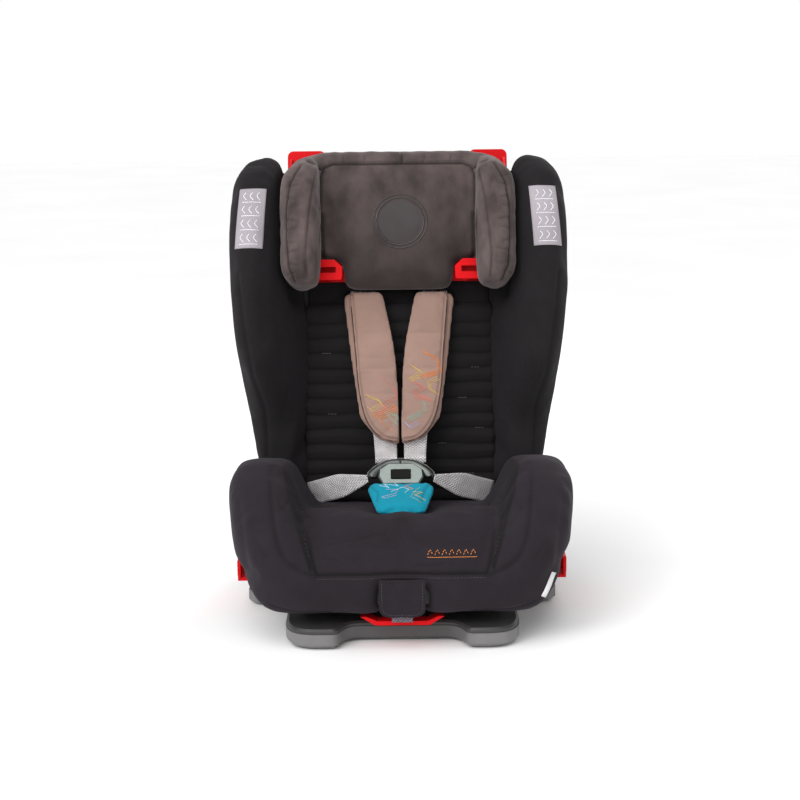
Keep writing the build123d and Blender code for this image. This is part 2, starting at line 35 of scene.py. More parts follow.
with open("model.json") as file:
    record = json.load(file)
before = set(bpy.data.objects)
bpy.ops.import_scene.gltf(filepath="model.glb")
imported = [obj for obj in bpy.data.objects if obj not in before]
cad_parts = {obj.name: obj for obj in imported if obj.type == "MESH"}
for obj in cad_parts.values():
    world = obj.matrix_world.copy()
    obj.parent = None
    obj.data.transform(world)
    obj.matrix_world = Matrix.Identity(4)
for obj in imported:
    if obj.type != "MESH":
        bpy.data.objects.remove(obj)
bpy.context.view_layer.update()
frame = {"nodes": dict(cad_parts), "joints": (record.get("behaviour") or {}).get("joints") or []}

SIDES = {"left": -1, "right": 1}
SLIDE = next(j for j in frame["joints"] if j["name"] == "headrest_height")["axis"]

# The frames that the back, the harness and the buckle are built in, as in the CAD
WORLD = Matrix.Identity(4)
BACK = Matrix.Translation((0, 0.070, 0.130)) @ Matrix.Rotation(-asin(SLIDE[1]), 4, "X")
HARNESS = Matrix.Translation((0, 0.060, 0.219)) @ Matrix.Rotation(radians(-22.4), 4, "X")
CROTCH = Matrix.Translation((0, -0.052, 0.150)) @ Matrix.Rotation(radians(21), 4, "X")
BUCKLE = Matrix.Translation((0, 0.002, 0.168)) @ Matrix.Rotation(radians(42), 4, "X")

FRONT = (0, -1, 0)
UPWARD = (0, 0, 1)


# Points and places


def local(points, place):
    """World points as coordinates in a placed frame."""
    m = np.array(place.inverted())
    return np.asarray(points) @ m[:3, :3].T + m[:3, 3]


def runs_along(points):
    """How far along a line each of its points lies."""
    return np.r_[0, np.cumsum(np.linalg.norm(np.diff(points, axis=0), axis=1))]


def resampled(points, count):
    """So many evenly spaced points along a line."""
    along = runs_along(points)
    stops = np.linspace(0, along[-1], count)
    return np.column_stack([np.interp(stops, along, column) for column in points.T])


def smooth_line(points, spacing):
    """A Catmull-Rom curve through points of any dimension, as evenly spaced points."""
    p = np.asarray(points, float)
    p = np.vstack([2 * p[0] - p[1], p, 2 * p[-1] - p[-2]])
    out = []
    for a, b, c, d in zip(p, p[1:], p[2:], p[3:]):
        t = np.linspace(0, 1, 12, endpoint=False)[:, None]
        out.append(b + 0.5 * t * (c - a + t * (2 * a - 5 * b + 4 * c - d + t * (3 * (b - c) + d - a))))
    out = np.vstack([*out, p[-2:-1]])
    return resampled(out, max(2, int(round(runs_along(out)[-1] / spacing)) + 1))


def mirrored(line):
    return [(-x, z) for x, z in line]


def both(line):
    """A flat line of the right side and its mirror image on the left."""
    return [line, mirrored(line)]


def nearest(points, lines):
    """Each 2-D point's distance to the nearest of some polylines."""
    return np.min([distance_to(points, np.asarray(line)) for line in lines], axis=0)


def inside(co, *limits):
    """Which points lie within a (low, high) pair for each coordinate."""
    return np.all([(low < c) & (c < high) for c, (low, high) in zip(co, limits)], axis=0)


def distance_to(points, line):
    """Each 2-D point's distance to a polyline."""
    best = np.full(len(points), 1e9)
    for a, b in zip(line, line[1:]):
        run = b - a
        t = np.clip((points - a) @ run / max(run @ run, 1e-12), 0, 1)
        best = np.minimum(best, np.linalg.norm(points - a - t[:, None] * run, axis=1))
    return best


def kept(inside, step):
    """A mask that fades over one grid step where a distance inside a limit changes sign."""
    return np.clip(inside / step + 0.5, 0, 1)


# Meshes


def vectors(elements, attribute):
    """A vector of each mesh element, as rows."""
    values = np.empty(len(elements) * 3, np.float32)
    elements.foreach_get(attribute, values)
    return values.reshape(-1, 3).astype(float)


def coordinates(piece):
    return vectors(piece.data.vertices, "co")


def normals(piece):
    return vectors(piece.data.vertex_normals, "vector")


def move_to(piece, co):
    piece.data.vertices.foreach_set("co", co.astype(np.float32).ravel())
    piece.data.update()


def linked(name, data):
    """An object in the scene."""
    thing = bpy.data.objects.new(name, data)
    bpy.context.scene.collection.objects.link(thing)
    return thing


def new_piece(name, verts, faces):
    mesh = bpy.data.meshes.new(name)
    mesh.from_pydata([tuple(v) for v in verts], [], [tuple(f) for f in faces])
    mesh.validate()
    mesh.shade_smooth()
    return linked(name, mesh)


def lofted(rings, start=0, flip=False):
    """The points of rings of equal count, and the faces between the rings and over both ends."""
    count = len(rings[0])
    faces = []
    for row in range(len(rings) - 1):
        here = start + row * count
        for k in range(count):
            n = (k + 1) % count
            faces.append((here + k, here + n, here + count + n, here + count + k))
    last = start + (len(rings) - 1) * count
    faces.append(tuple(reversed(range(start, start + count))))
    faces.append(tuple(range(last, last + count)))
    return [point for ring in rings for point in ring], [face[::-1] for face in faces] if flip else faces


def sheet_faces(columns, rows):
    """The quads of a sheet whose points run along its columns, row by row."""
    starts = [j * (columns + 1) + i for j in range(rows) for i in range(columns)]
    return [(a, a + columns + 1, a + columns + 2, a + 1) for a in starts]


def bake(piece):
    """Applies a piece's modifiers."""
    shape = piece.evaluated_get(bpy.context.evaluated_depsgraph_get())
    mesh = bpy.data.meshes.new_from_object(shape)
    piece.modifiers.clear()
    piece.data = mesh
    mesh.shade_smooth()
    return piece


def subdivided(piece):
    piece.modifiers.new("Subdivision", "SUBSURF").levels = 1
    return bake(piece)


def thickened(piece, thickness, offset=0):
    """Gives a sheet its thickness. An offset of -1 keeps the sheet as the front face."""
    solid = piece.modifiers.new("Thickness", "SOLIDIFY")
    solid.thickness = thickness
    solid.offset = offset
    return bake(piece)


def relaxed(piece, rounds, share=0.5):
    """Evens out a mesh: each vertex moves towards the mean of its neighbours."""
    edges = np.empty(len(piece.data.edges) * 2, np.int32)
    piece.data.edges.foreach_get("vertices", edges)
    a, b = edges.reshape(-1, 2).T
    co = coordinates(piece)
    count = np.bincount(a, minlength=len(co)) + np.bincount(b, minlength=len(co))
    for _ in range(rounds):
        sums = [np.bincount(a, co[b, k], len(co)) + np.bincount(b, co[a, k], len(co)) for k in range(3)]
        mean = np.stack(sums, 1)
        co += share * (mean / count[:, None] - co)
    move_to(piece, co)
    return piece


# Padded forms: the CAD solids are sampled on a grid, blurred so that their edges round off, and skinned


def filled(nodes, step, margin):
    """How full of the CAD nodes each cell of a grid is, and the middle of its first cell."""
    verts, faces = [], []
    for node in nodes:
        mesh = frame["nodes"][node].data
        mesh.calc_loop_triangles()
        start = len(verts)
        verts += [v.co.copy() for v in mesh.vertices]
        faces += [[start + i for i in t.vertices] for t in mesh.loop_triangles]
    tree = BVHTree.FromPolygons(verts, faces)
    co = np.array(verts)
    low = co.min(0) - margin - 0.137 * step
    shape = np.ceil((co.max(0) + margin - low) / step).astype(int) + 1
    fills = []
    for axis in range(3):
        u, v = [a for a in range(3) if a != axis]
        direction = Vector((0, 0, 0))
        direction[axis] = 1
        ends = low[axis] + step * (np.arange(shape[axis]) + 0.5)
        fill = np.zeros((shape[axis], shape[u], shape[v]))
        for i in range(shape[u]):
            for j in range(shape[v]):
                start = Vector((0, 0, 0))
                start[axis] = low[axis] - step
                start[u] = low[u] + i * step
                start[v] = low[v] + j * step
                hit, normal, _, _ = tree.ray_cast(start, direction)
                while hit is not None:
                    way = 1 if normal[axis] < 0 else -1
                    fill[:, i, j] += way * np.clip((ends - hit[axis]) / step, 0, 1)
                    start[axis] = hit[axis] + 1e-5
                    hit, normal, _, _ = tree.ray_cast(start, direction)
        fills.append(np.moveaxis(np.clip(fill, 0, 1), 0, axis))
    fills = np.stack(fills)
    fill = np.median(fills, axis=0)
    for cell in np.argwhere((fills.min(0) < 1) & (fills.max(0) > 0)):
        away = tree.find_nearest(Vector(low + step * cell))[3]
        fill[tuple(cell)] = kept(away if fill[tuple(cell)] > 0.5 else -away, step)
    return fill, low


def blurred(grid, sigma):
    """A Gaussian blur, sigma in cells."""
    reach = int(np.ceil(3 * sigma))
    taps = np.exp(-0.5 * (np.arange(-reach, reach + 1) / sigma) ** 2)
    taps /= taps.sum()
    for axis in range(3):
        width = [(reach, reach) if a == axis else (0, 0) for a in range(3)]
        wide = np.pad(grid, width)
        size = grid.shape[axis]
        grid = sum(tap * np.take(wide, range(k, k + size), axis) for k, tap in enumerate(taps))
    return grid


def skin(level):
    """Quads where a grid of values changes sign: one vertex in each cell that the surface crosses."""
    cells = tuple(n - 1 for n in level.shape)
    count = np.zeros(cells)
    total = np.zeros(cells + (3,))
    for axis in range(3):
        others = [a for a in range(3) if a != axis]
        a = np.moveaxis(level, axis, 0)
        low, high = a[:-1], a[1:]
        cut = (low > 0) != (high > 0)
        share = np.where(cut, low / np.where(cut, low - high, 1), 0)
        counts, totals = np.moveaxis(count, axis, 0), np.moveaxis(total, axis, 0)
        size = counts.shape
        index = np.indices(size)
        for du in (0, 1):
            for dv in (0, 1):
                window = (slice(None), slice(du, du + size[1]), slice(dv, dv + size[2]))
                c = cut[window]
                counts += c
                totals[..., axis] += c * (index[0] + share[window])
                totals[..., others[0]] += c * (index[1] + du)
                totals[..., others[1]] += c * (index[2] + dv)
    used = count > 0
    ids = np.full(cells, -1)
    ids[used] = np.arange(used.sum())
    verts = total[used] / count[used][:, None]
    faces = []
    for axis in range(3):
        a = np.moveaxis(level, axis, 0)
        n = np.moveaxis(ids, axis, 0)
        low, high = a[:-1, 1:-1, 1:-1], a[1:, 1:-1, 1:-1]
        i, j, k = np.nonzero((low > 0) != (high > 0))
        quad = np.stack([n[i, j, k], n[i, j + 1, k], n[i, j + 1, k + 1], n[i, j, k + 1]], 1)
        turn = (low[i, j, k] <= 0) ^ (axis == 1)
        quad[turn] = quad[turn][:, ::-1]
        faces.append(quad)
    return verts, np.vstack(faces)


def soft_form(name, nodes, step, rounding, shape=None, level=0.5):
    """A closed, evenly meshed form over CAD nodes.

    shape may change the grid of fill before it is blurred. A level under a half makes up for what the blur
    takes off a thin form.
    """
    grid, low = filled(nodes, step, 3 * rounding + 3 * step)
    if shape:
        along = [low[a] + step * np.arange(grid.shape[a]) for a in range(3)]
        places = np.stack(np.meshgrid(*along, indexing="ij"), -1)
        grid = shape(grid, places)
    grid = blurred(grid, rounding / step)
    verts, faces = skin(grid - level)
    return relaxed(new_piece(name, low + verts * step, faces), 4)


CLOTH_STIFFNESS = 8.0
CLOTH_STEPS = 20


def swell(piece, pressure, limit, held, slack):
    """Lets a cover puff up by cloth simulation. held marks the vertices that are sewn or glued down."""
    rest = coordinates(piece)
    group = piece.vertex_groups.new(name="held")
    group.add([int(i) for i in np.nonzero(held)[0]], 1.0, "REPLACE")
    modifier = piece.modifiers.new("Cloth", "CLOTH")
    cloth = modifier.settings
    cloth.quality = 4
    cloth.mass = 0.2
    cloth.tension_stiffness = CLOTH_STIFFNESS
    cloth.compression_stiffness = CLOTH_STIFFNESS
    cloth.shear_stiffness = 0.4 * CLOTH_STIFFNESS
    cloth.bending_stiffness = 0.3
    cloth.use_pressure = True
    cloth.uniform_pressure_force = pressure
    cloth.shrink_min = -slack
    cloth.effector_weights.gravity = 0
    cloth.vertex_group_mass = "held"
    modifier.point_cache.frame_end = CLOTH_STEPS
    for step in range(1, CLOTH_STEPS + 1):
        bpy.context.scene.frame_set(step)
    puffed = piece.evaluated_get(bpy.context.evaluated_depsgraph_get())
    travel = coordinates(puffed) - rest
    length = np.linalg.norm(travel, axis=1)[:, None]
    travel *= limit * np.tanh(length / limit) / np.maximum(length, 1e-9)
    piece.modifiers.clear()
    piece.vertex_groups.clear()
    bpy.context.scene.frame_set(1)
    move_to(piece, rest + travel)
    return relaxed(piece, 1)


def seen_from(piece, place, facing):
    """Coordinates and the way each vertex faces, in a placed frame."""
    turn = np.array(place.inverted())[:3, :3]
    co = local(coordinates(piece), place)
    return co, (normals(piece) @ turn.T) @ np.array(facing, float)


def shade(piece, values):
    """Darkens a piece's fabric where values, one for each vertex, come near 1: dark seams, and painted shade
    in deep folds and recesses.
    """
    layer = piece.data.attributes.get("shade") or piece.data.attributes.new("shade", "FLOAT", "POINT")
    old = np.empty(len(values), np.float32)
    layer.data.foreach_get("value", old)
    layer.data.foreach_set("value", np.maximum(old, values).astype(np.float32))


def seam_distance(piece, lines, place, plane, facing):
    """Each vertex's distance to the seams in a plane of a placed frame, and how far it faces one way."""
    co, towards = seen_from(piece, place, facing)
    return nearest(co[:, list(plane)], lines), towards


def carve(piece, lines, depth, width, place=WORLD, plane=(0, 2), facing=FRONT, dark=0.0):
    """Presses seams into a cover: lines lie in a plane of a placed frame and the cover is pushed in from one
    side. dark darkens the grooves: dark seams, and painted shade in folds and creases.
    """
    away, towards = seam_distance(piece, lines, place, plane, facing)
    press = np.exp(-((away / width) ** 2)) * np.clip((towards - 0.15) / 0.2, 0, 1)
    move_to(piece, coordinates(piece) - depth * press[:, None] * normals(piece))
    shade(piece, dark * press**2)


def near_lines(piece, lines, reach, place=WORLD, plane=(0, 2), facing=FRONT):
    """Which vertices lie within reach of the seams, on the side that they are pressed from."""
    away, towards = seam_distance(piece, lines, place, plane, facing)
    return (away < reach) & (towards > 0.1)


def surface_tree(piece):
    mesh = piece.data
    return BVHTree.FromPolygons([v.co for v in mesh.vertices], [p.vertices for p in mesh.polygons])


def laid_on(tree, points, place, plane, facing, lift):
    """Flat points of a placed frame, dropped onto a surface from one side: places and normals."""
    found = []
    way = Vector(facing)
    turn = place.to_3x3()
    for u, v in points:
        start = way * 0.5
        start[plane[0]] = u
        start[plane[1]] = v
        hit, normal, _, _ = tree.ray_cast(place @ start, turn @ -way)
        if hit is not None:
            found.append((hit + normal * lift, normal))
    return found


ROD_SIDES = 5


def rods(spans, radius):
    """Short rounded rods between pairs of points, as vertices and faces."""
    verts, faces = [], []
    for a, b in spans:
        along = (b - a).normalized()
        across = along.orthogonal().normalized()
        up = along.cross(across)
        rings = []
        for t, size in ((0.0, 0.45), (0.12, 1.0), (0.88, 1.0), (1.0, 0.45)):
            turns = [2 * pi * k / ROD_SIDES for k in range(ROD_SIDES)]
            rings.append([a.lerp(b, t) + (across * cos(q) + up * sin(q)) * radius * size for q in turns])
        more_verts, more_faces = lofted(rings, len(verts))
        verts += more_verts
        faces += more_faces
    return verts, faces


def stitches(name, surface, lines, place, finish, plane=(0, 2), facing=FRONT, pitch=0.0045, length=0.003,
             radius=0.0004):
    """A row of thread stitches laid on a surface along each line. finish is what finish_as takes."""
    tree = surface_tree(surface)
    spans = []
    for line in lines:
        dense = smooth_line(line, pitch / 2)
        points = laid_on(tree, dense, place, plane, facing, radius * 0.4)
        for (a, _), (b, _) in zip(points[::2], points[1::2]):
            if 0.2 * pitch < (b - a).length < 1.5 * pitch:
                middle, half = (a + b) / 2, (b - a).normalized() * length / 2
                spans.append((middle - half, middle + half))
    return finish_as(new_piece(name, *rods(spans, radius)), *finish)


def tube(name, points, radius, finish, closed=False):
    """A round cord of fabric along points: piping, hems and rims."""
    curve = bpy.data.curves.new(name, "CURVE")
    curve.dimensions = "3D"
    curve.bevel_depth = radius
    curve.bevel_resolution = 2
    curve.use_fill_caps = True
    spline = curve.splines.new("POLY")
    spline.points.add(len(points) - 1)
    for target, point in zip(spline.points, points):
        target.co = (*point, 1)
    spline.use_cyclic_u = closed
    holder = bpy.data.objects.new(name, curve)
    mesh = bpy.data.meshes.new_from_object(holder)
    bpy.data.objects.remove(holder)
    mesh.shade_smooth()
    mesh.name = name
    return finish_as(linked(name, mesh), *finish)


WEB_STEPS = 12
WEB_THICKNESS = 0.0019


def webbing(name, edges, node, material="grey_webbing", wave=0.0004):
    """A flat woven strap in a node's place: (left, right) points down its route. Its UVs are in metres."""
    route = smooth_line([(*a, *b) for a, b in edges], 0.003)
    left, right = route[:, :3], route[:, 3:]
    middle = (left + right) / 2
    across = right - left
    out = np.cross(across, np.gradient(middle, axis=0))
    out /= np.linalg.norm(out, axis=1)[:, None]
    runs = runs_along(middle)
    widths = np.linalg.norm(across, axis=1)
    profile = [(k / WEB_STEPS, 1) for k in range(WEB_STEPS + 1)]
    profile += [(t, -1) for t, _ in reversed(profile)]
    rings, flat = [], []
    for row, run in enumerate(runs):
        ring = []
        for t, side in profile:
            thick = WEB_THICKNESS / 2 * (0.55 if t in (0, 1) else 1.0)
            ripple = wave * sin(run * 190 + 5 * t) * sin(9 * t + run * 60)
            ring.append(left[row] + across[row] * t + out[row] * (side * thick + ripple))
            flat.append((t * widths[row], run))
        rings.append(ring)
    piece = new_piece(name, *lofted(rings, flip=True))
    uv = piece.data.uv_layers.new(name="weave")
    for loop in piece.data.loops:
        uv.data[loop.index].uv = flat[loop.vertex_index]
    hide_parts(node)
    return finish_as(piece, material, "seat", "grey_webbing")


# Materials


MATERIALS = {}  # by the name that a look is given, because Blender may number it


class Look:
    """A node material that is built up step by step."""

    def __init__(self, name, roughness=0.6, **sockets):
        self.material = bpy.data.materials.new(name)
        MATERIALS[name] = self.material
        self.material.use_nodes = True
        self.tree = self.material.node_tree
        self.shader = self.tree.nodes["Principled BSDF"]
        self.set(self.shader, {"Roughness": roughness, **sockets})
        self.height = None
        self.place = self.add("ShaderNodeTexCoord").outputs["Object"]

    def set(self, node, inputs):
        for key, value in inputs.items():
            if isinstance(value, bpy.types.NodeSocket):
                self.tree.links.new(value, node.inputs[key])
            else:
                node.inputs[key].default_value = value

    def add(self, kind, inputs=None, **settings):
        node = self.tree.nodes.new(kind)
        for key, value in settings.items():
            setattr(node, key, value)
        self.set(node, inputs or {})
        return node

    def stretched(self, scale, turn=(0, 0, 0)):
        inputs = {"Vector": self.place, "Scale": scale, "Rotation": turn}
        return self.add("ShaderNodeMapping", inputs).outputs["Vector"]

    def noise(self, scale, detail=3.0, vector=None):
        inputs = {"Vector": vector or self.place, "Scale": scale, "Detail": detail}
        return self.add("ShaderNodeTexNoise", inputs).outputs["Fac"]

    def cells(self, scale, vector=None, feature="F1"):
        inputs = {"Vector": vector or self.place, "Scale": scale}
        return self.add("ShaderNodeTexVoronoi", inputs, feature=feature).outputs["Distance"]

    def maths(self, operation, a, b=0.0, c=0.0):
        return self.add("ShaderNodeMath", {0: a, 1: b, 2: c}, operation=operation).outputs[0]

    def split(self, vector):
        outputs = self.add("ShaderNodeSeparateXYZ", {"Vector": vector}).outputs
        return outputs["X"], outputs["Y"], outputs["Z"]

    def clamp(self, value, low=0.0, high=1.0):
        return self.add("ShaderNodeClamp", {"Value": value, "Min": low, "Max": high}).outputs[0]

    def ramp(self, value, stops):
        node = self.add("ShaderNodeValToRGB", {"Fac": value})
        elements = node.color_ramp.elements
        while len(elements) < len(stops):
            elements.new(0.5)
        for element, (position, colour) in zip(elements, stops):
            element.position = position
            element.color = (*colour, 1)
        return node.outputs["Color"]

    def mottled(self, value, colour, spread, low=0.35):
        """A colour that a value takes from a darker to a lighter version of it."""
        dark, light = shades(colour, spread)
        return self.ramp(value, [(low, dark), (1 - low, light)])

    def mix(self, factor, a, b):
        a, b = [(*value, 1) if isinstance(value, tuple) else value for value in (a, b)]
        return self.add("ShaderNodeMix", {0: factor, 6: a, 7: b}, data_type="RGBA").outputs[2]

    def colour(self, value):
        self.set(self.shader, {"Base Color": value})

    def sheen(self, weight, roughness, tint):
        inputs = {"Sheen Weight": weight, "Sheen Roughness": roughness, "Sheen Tint": (*tint, 1)}
        self.set(self.shader, inputs)

    def shaded(self, value, dark):
        """A colour that goes dark where the piece's own shading layer says so."""
        layer = self.add("ShaderNodeAttribute", attribute_name="shade").outputs["Fac"]
        return self.mix(layer, value, dark)

    def bump(self, height, distance, strength=1.0):
        inputs = {"Height": height, "Distance": distance, "Strength": strength}
        if self.height is not None:
            inputs["Normal"] = self.height
        self.height = self.add("ShaderNodeBump", inputs).outputs["Normal"]
        self.set(self.shader, {"Normal": self.height})

    def rough(self, value, low, high):
        inputs = {"Value": value, "To Min": low, "To Max": high}
        self.set(self.shader, {"Roughness": self.add("ShaderNodeMapRange", inputs).outputs[0]})


def dimmed(colour, share):
    return tuple(c * share for c in colour)


def shades(colour, spread):
    """A darker and a lighter version of a colour."""
    return dimmed(colour, 1 - spread), dimmed(colour, 1 + spread)


def knit(name, colour, spread=0.22, loop=0.0011, sheen=0.25, tint=None):
    """A matte knitted fabric: fine loops, soft shading in patches and a little sheen."""
    look = Look(name, 0.92, **{"Specular IOR Level": 0.25})
    look.sheen(sheen, 0.6, tint or colour)
    patches = look.mottled(look.noise(14, 4), colour, spread, 0.3)
    threads = look.cells(1 / loop, look.stretched((1.0, 1.0, 0.72)))
    # Painted shade in the gaps between the loops.
    loop_shaded = look.mix(look.maths("MULTIPLY", threads, 0.55), patches, dimmed(colour, 1 - spread))
    look.colour(look.shaded(loop_shaded, dimmed(colour, 0.18)))
    look.rough(look.noise(60), 0.82, 0.98)
    look.bump(look.noise(70, 3), 0.0010, 0.35)
    look.bump(threads, -0.00025, 0.8)


def velour(name, colour):
    """Short pile: brushed patches that catch the light, over a fine fuzz, and painted shade on the lower
    middle, where the centre panel lies back between the side pads.
    """
    look = Look(name, 0.95, **{"Specular IOR Level": 0.2})
    look.sheen(0.30, 0.45, (0.75, 0.68, 0.68))
    dark, light = shades(colour, 0.52)
    brushed = look.noise(32, 7, look.stretched((1.0, 1.0, 0.6), (0, 0.5, 0)))
    fuzz = look.noise(900, 2)
    patches = look.ramp(brushed, [(0.34, dark), (0.5, colour), (0.68, light)])
    # Painted shade: darker towards the lower middle, between the side pads.
    x, _, z = look.split(look.place)
    middle = look.clamp(look.maths("MULTIPLY_ADD", look.maths("ABSOLUTE", x), -28.0, 3.6))
    low = look.clamp(look.maths("MULTIPLY_ADD", z, -3.4, 2.45), 0.15, 0.85)
    middle_shade = look.mix(look.maths("MULTIPLY", middle, low), patches, dimmed(colour, 0.30))
    piled = look.mix(look.maths("MULTIPLY", fuzz, 0.5), middle_shade, dark)
    look.colour(look.shaded(piled, dimmed(colour, 0.15)))
    look.rough(brushed, 0.85, 1.0)
    look.bump(brushed, 0.0016, 0.45)
    look.bump(fuzz, 0.0006, 0.6)


def woven(name, colour):
    """Webbing: twill ribs from the strap's own UVs, which fold to and fro across its width."""
    look = Look(name, 0.75, **{"Sheen Weight": 0.3, "Sheen Tint": (*colour, 1), "Specular IOR Level": 0.35})
    u, v, _ = look.split(look.add("ShaderNodeUVMap", uv_map="weave").outputs["UV"])
    slant = look.maths("ADD", v, look.maths("PINGPONG", u, 0.0062))
    ribs = look.maths("SINE", look.maths("MULTIPLY", slant, 2 * pi / 0.0042))
    warp = look.maths("SINE", look.maths("MULTIPLY", u, 2 * pi / 0.0024))
    weave = look.maths("ADD", look.maths("MULTIPLY", ribs, 0.7), look.maths("MULTIPLY", warp, 0.3))
    grime = look.mottled(look.noise(60, 5), colour, 0.16)
    # Painted shade in the hollows between the twill ribs.
    hollow_shade = look.clamp(look.maths("MULTIPLY_ADD", weave, -0.62, 0.34))
    look.colour(look.mix(hollow_shade, grime, dimmed(colour, 0.20)))
    look.bump(weave, 0.0005, 1.0)


def moulded(name, colour, roughness, grain=0.0009, coat=0.0, spread=0.10, shine=0.5, shaded_middle=0.0):
    """Moulded plastic with a fine grain, with an optional stretch in the middle painted darker as shade on a
    set-back part; the last argument is half its width.
    """
    look = Look(name, roughness, **{"Specular IOR Level": shine, "Coat Weight": coat, "Coat Roughness": 0.25})
    patches = look.mottled(look.noise(22, 4), colour, spread)
    if shaded_middle:
        across = look.maths("ABSOLUTE", look.split(look.place)[0])
        middle = look.clamp(look.maths("MULTIPLY_ADD", across, -25.0, 25.0 * shaded_middle + 0.5))
        patches = look.mix(middle, patches, dimmed(colour, 0.45))
    look.colour(patches)
    look.rough(look.noise(35, 4), roughness - 0.08, roughness + 0.10)
    look.bump(look.noise(1 / grain, 2), 0.00012, 0.7)


def metal(name, colour, roughness, brushed=(1.0, 1.0, 1.0)):
    """Zinc-plated or painted metal with a faint direction to its finish."""
    look = Look(name, roughness, Metallic=1.0)
    streaks = look.noise(120, 4, look.stretched(brushed))
    look.colour(look.mottled(streaks, colour, 0.12, 0.3))
    look.rough(streaks, roughness - 0.07, roughness + 0.12)
    look.bump(streaks, 0.00008, 0.6)


def beads(name, colour):
    """Expanded foam: pressed beads."""
    look = Look(name, 0.9)
    cell = look.cells(230)
    dark, light = shades(colour, 0.10)
    # Painted shade in the grooves between the beads.
    look.colour(look.ramp(cell, [(0.1, light), (0.75, dark)]))
    look.bump(cell, -0.0006, 0.8)


def thread(name, colour):
    """Sewing thread, twisted."""
    look = Look(name, 0.6, **{"Sheen Weight": 0.2})
    twist = look.noise(900, 2, look.stretched((1, 1, 3), (0.7, 0.4, 0)))
    look.colour(look.mottled(twist, colour, 0.25))
    look.bump(twist, 0.0002, 0.7)


COOL_SHEEN = (0.34, 0.29, 0.35)
THREADS = {
    "dark": (0.035, 0.029, 0.031), "grey": (0.16, 0.14, 0.15), "pale": (0.88, 0.88, 0.92),
    "yellow": (0.60, 0.42, 0.13), "coral": (0.60, 0.20, 0.16), "orange": (0.72, 0.22, 0.035),
    "mint": (0.30, 0.42, 0.33), "white": (0.50, 0.68, 0.74), "lilac": (0.42, 0.42, 0.62),
}

knit("black_fabric", (0.0146, 0.0108, 0.0150), sheen=0.10, tint=COOL_SHEEN)
knit("rib_fabric", (0.0078, 0.0066, 0.0074), sheen=0.06, tint=COOL_SHEEN)
knit("wing_fabric", (0.0090, 0.0078, 0.0086), sheen=0.06, tint=COOL_SHEEN)
knit("patch_fabric", (0.36, 0.33, 0.36), 0.10, 0.0016, sheen=0.1)
velour("velour", (0.100, 0.076, 0.073))
knit("badge_fabric", (0.062, 0.055, 0.056), 0.15, 0.0007, sheen=0.2)
moulded("badge_ring", (0.014, 0.012, 0.013), 0.28, coat=0.6)
knit("beige_fabric", (0.315, 0.198, 0.160), 0.14, 0.0009, tint=(0.9, 0.75, 0.7))
knit("turquoise_fabric", (0.003, 0.270, 0.390), 0.14, 0.0009, sheen=0.12, tint=(0.3, 0.7, 0.8))
knit("tag_fabric", (0.70, 0.70, 0.71), 0.05, 0.0006)
knit("hem_fabric", (0.050, 0.034, 0.030), loop=0.0008, sheen=0.1)
woven("grey_webbing", (0.76, 0.73, 0.74))
woven("dark_webbing", (0.24, 0.20, 0.24))
# The base tray's set-back middle bar is painted darker: painted shade.
moulded("base_plastic", (0.165, 0.160, 0.163), 0.42, spread=0.08, shaded_middle=0.085)
moulded("cover_plastic", (0.040, 0.038, 0.039), 0.42)
moulded("black_plastic", (0.014, 0.014, 0.015), 0.42)
moulded("red_plastic", (0.66, 0.005, 0.008), 0.40, grain=0.0006, spread=0.06, shine=0.10)
metal("tongue_metal", (0.130, 0.140, 0.135), 0.38)
metal("buckle_metal", (0.240, 0.270, 0.255), 0.34)
moulded("button_plastic", (0.006, 0.006, 0.006), 0.50, shine=0.12)
metal("steel", (0.50, 0.50, 0.52), 0.32, (1.0, 12.0, 12.0))
moulded("rubber", (0.03, 0.03, 0.03), 0.75)
beads("foam", (0.55, 0.55, 0.53))
for thread_name, thread_colour in THREADS.items():
    thread(f"{thread_name}_thread", thread_colour)


def finish_as(piece, material, body, slot):
    """A piece's material and the body that it rides on. The slot, the record's slot for its finish, is not
    used.
    """
    piece.data.materials.clear()
    piece.data.materials.append(MATERIALS[material])
    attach(piece, body)
    return piece


def cover_as(piece, nodes, material, body, slot):
    """Finishes a padded cover that stands in for CAD nodes."""
    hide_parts(*nodes)
    return finish_as(piece, material, body, slot)


# What finish_as takes for thread on the seat, the flap and the headrest
SEAT_THREAD = ("dark_thread", "seat", "black_fabric")
FLAP_THREAD = ("dark_thread", "flap", "black_fabric")
HEAD_THREAD = ("dark_thread", "headrest", "velour")


# Seat: one sewn cover over both armrests, the cushion and the front panel

SEAT_NODES = ["arm_pad_left", "arm_foam_left", "arm_pad_right", "arm_foam_right", "front_pad", "seat_cushion"]
FRONT_SEAM_Z = 0.1085
PANEL_HALF = 0.117  # half the width of the cushion where it meets the front panel

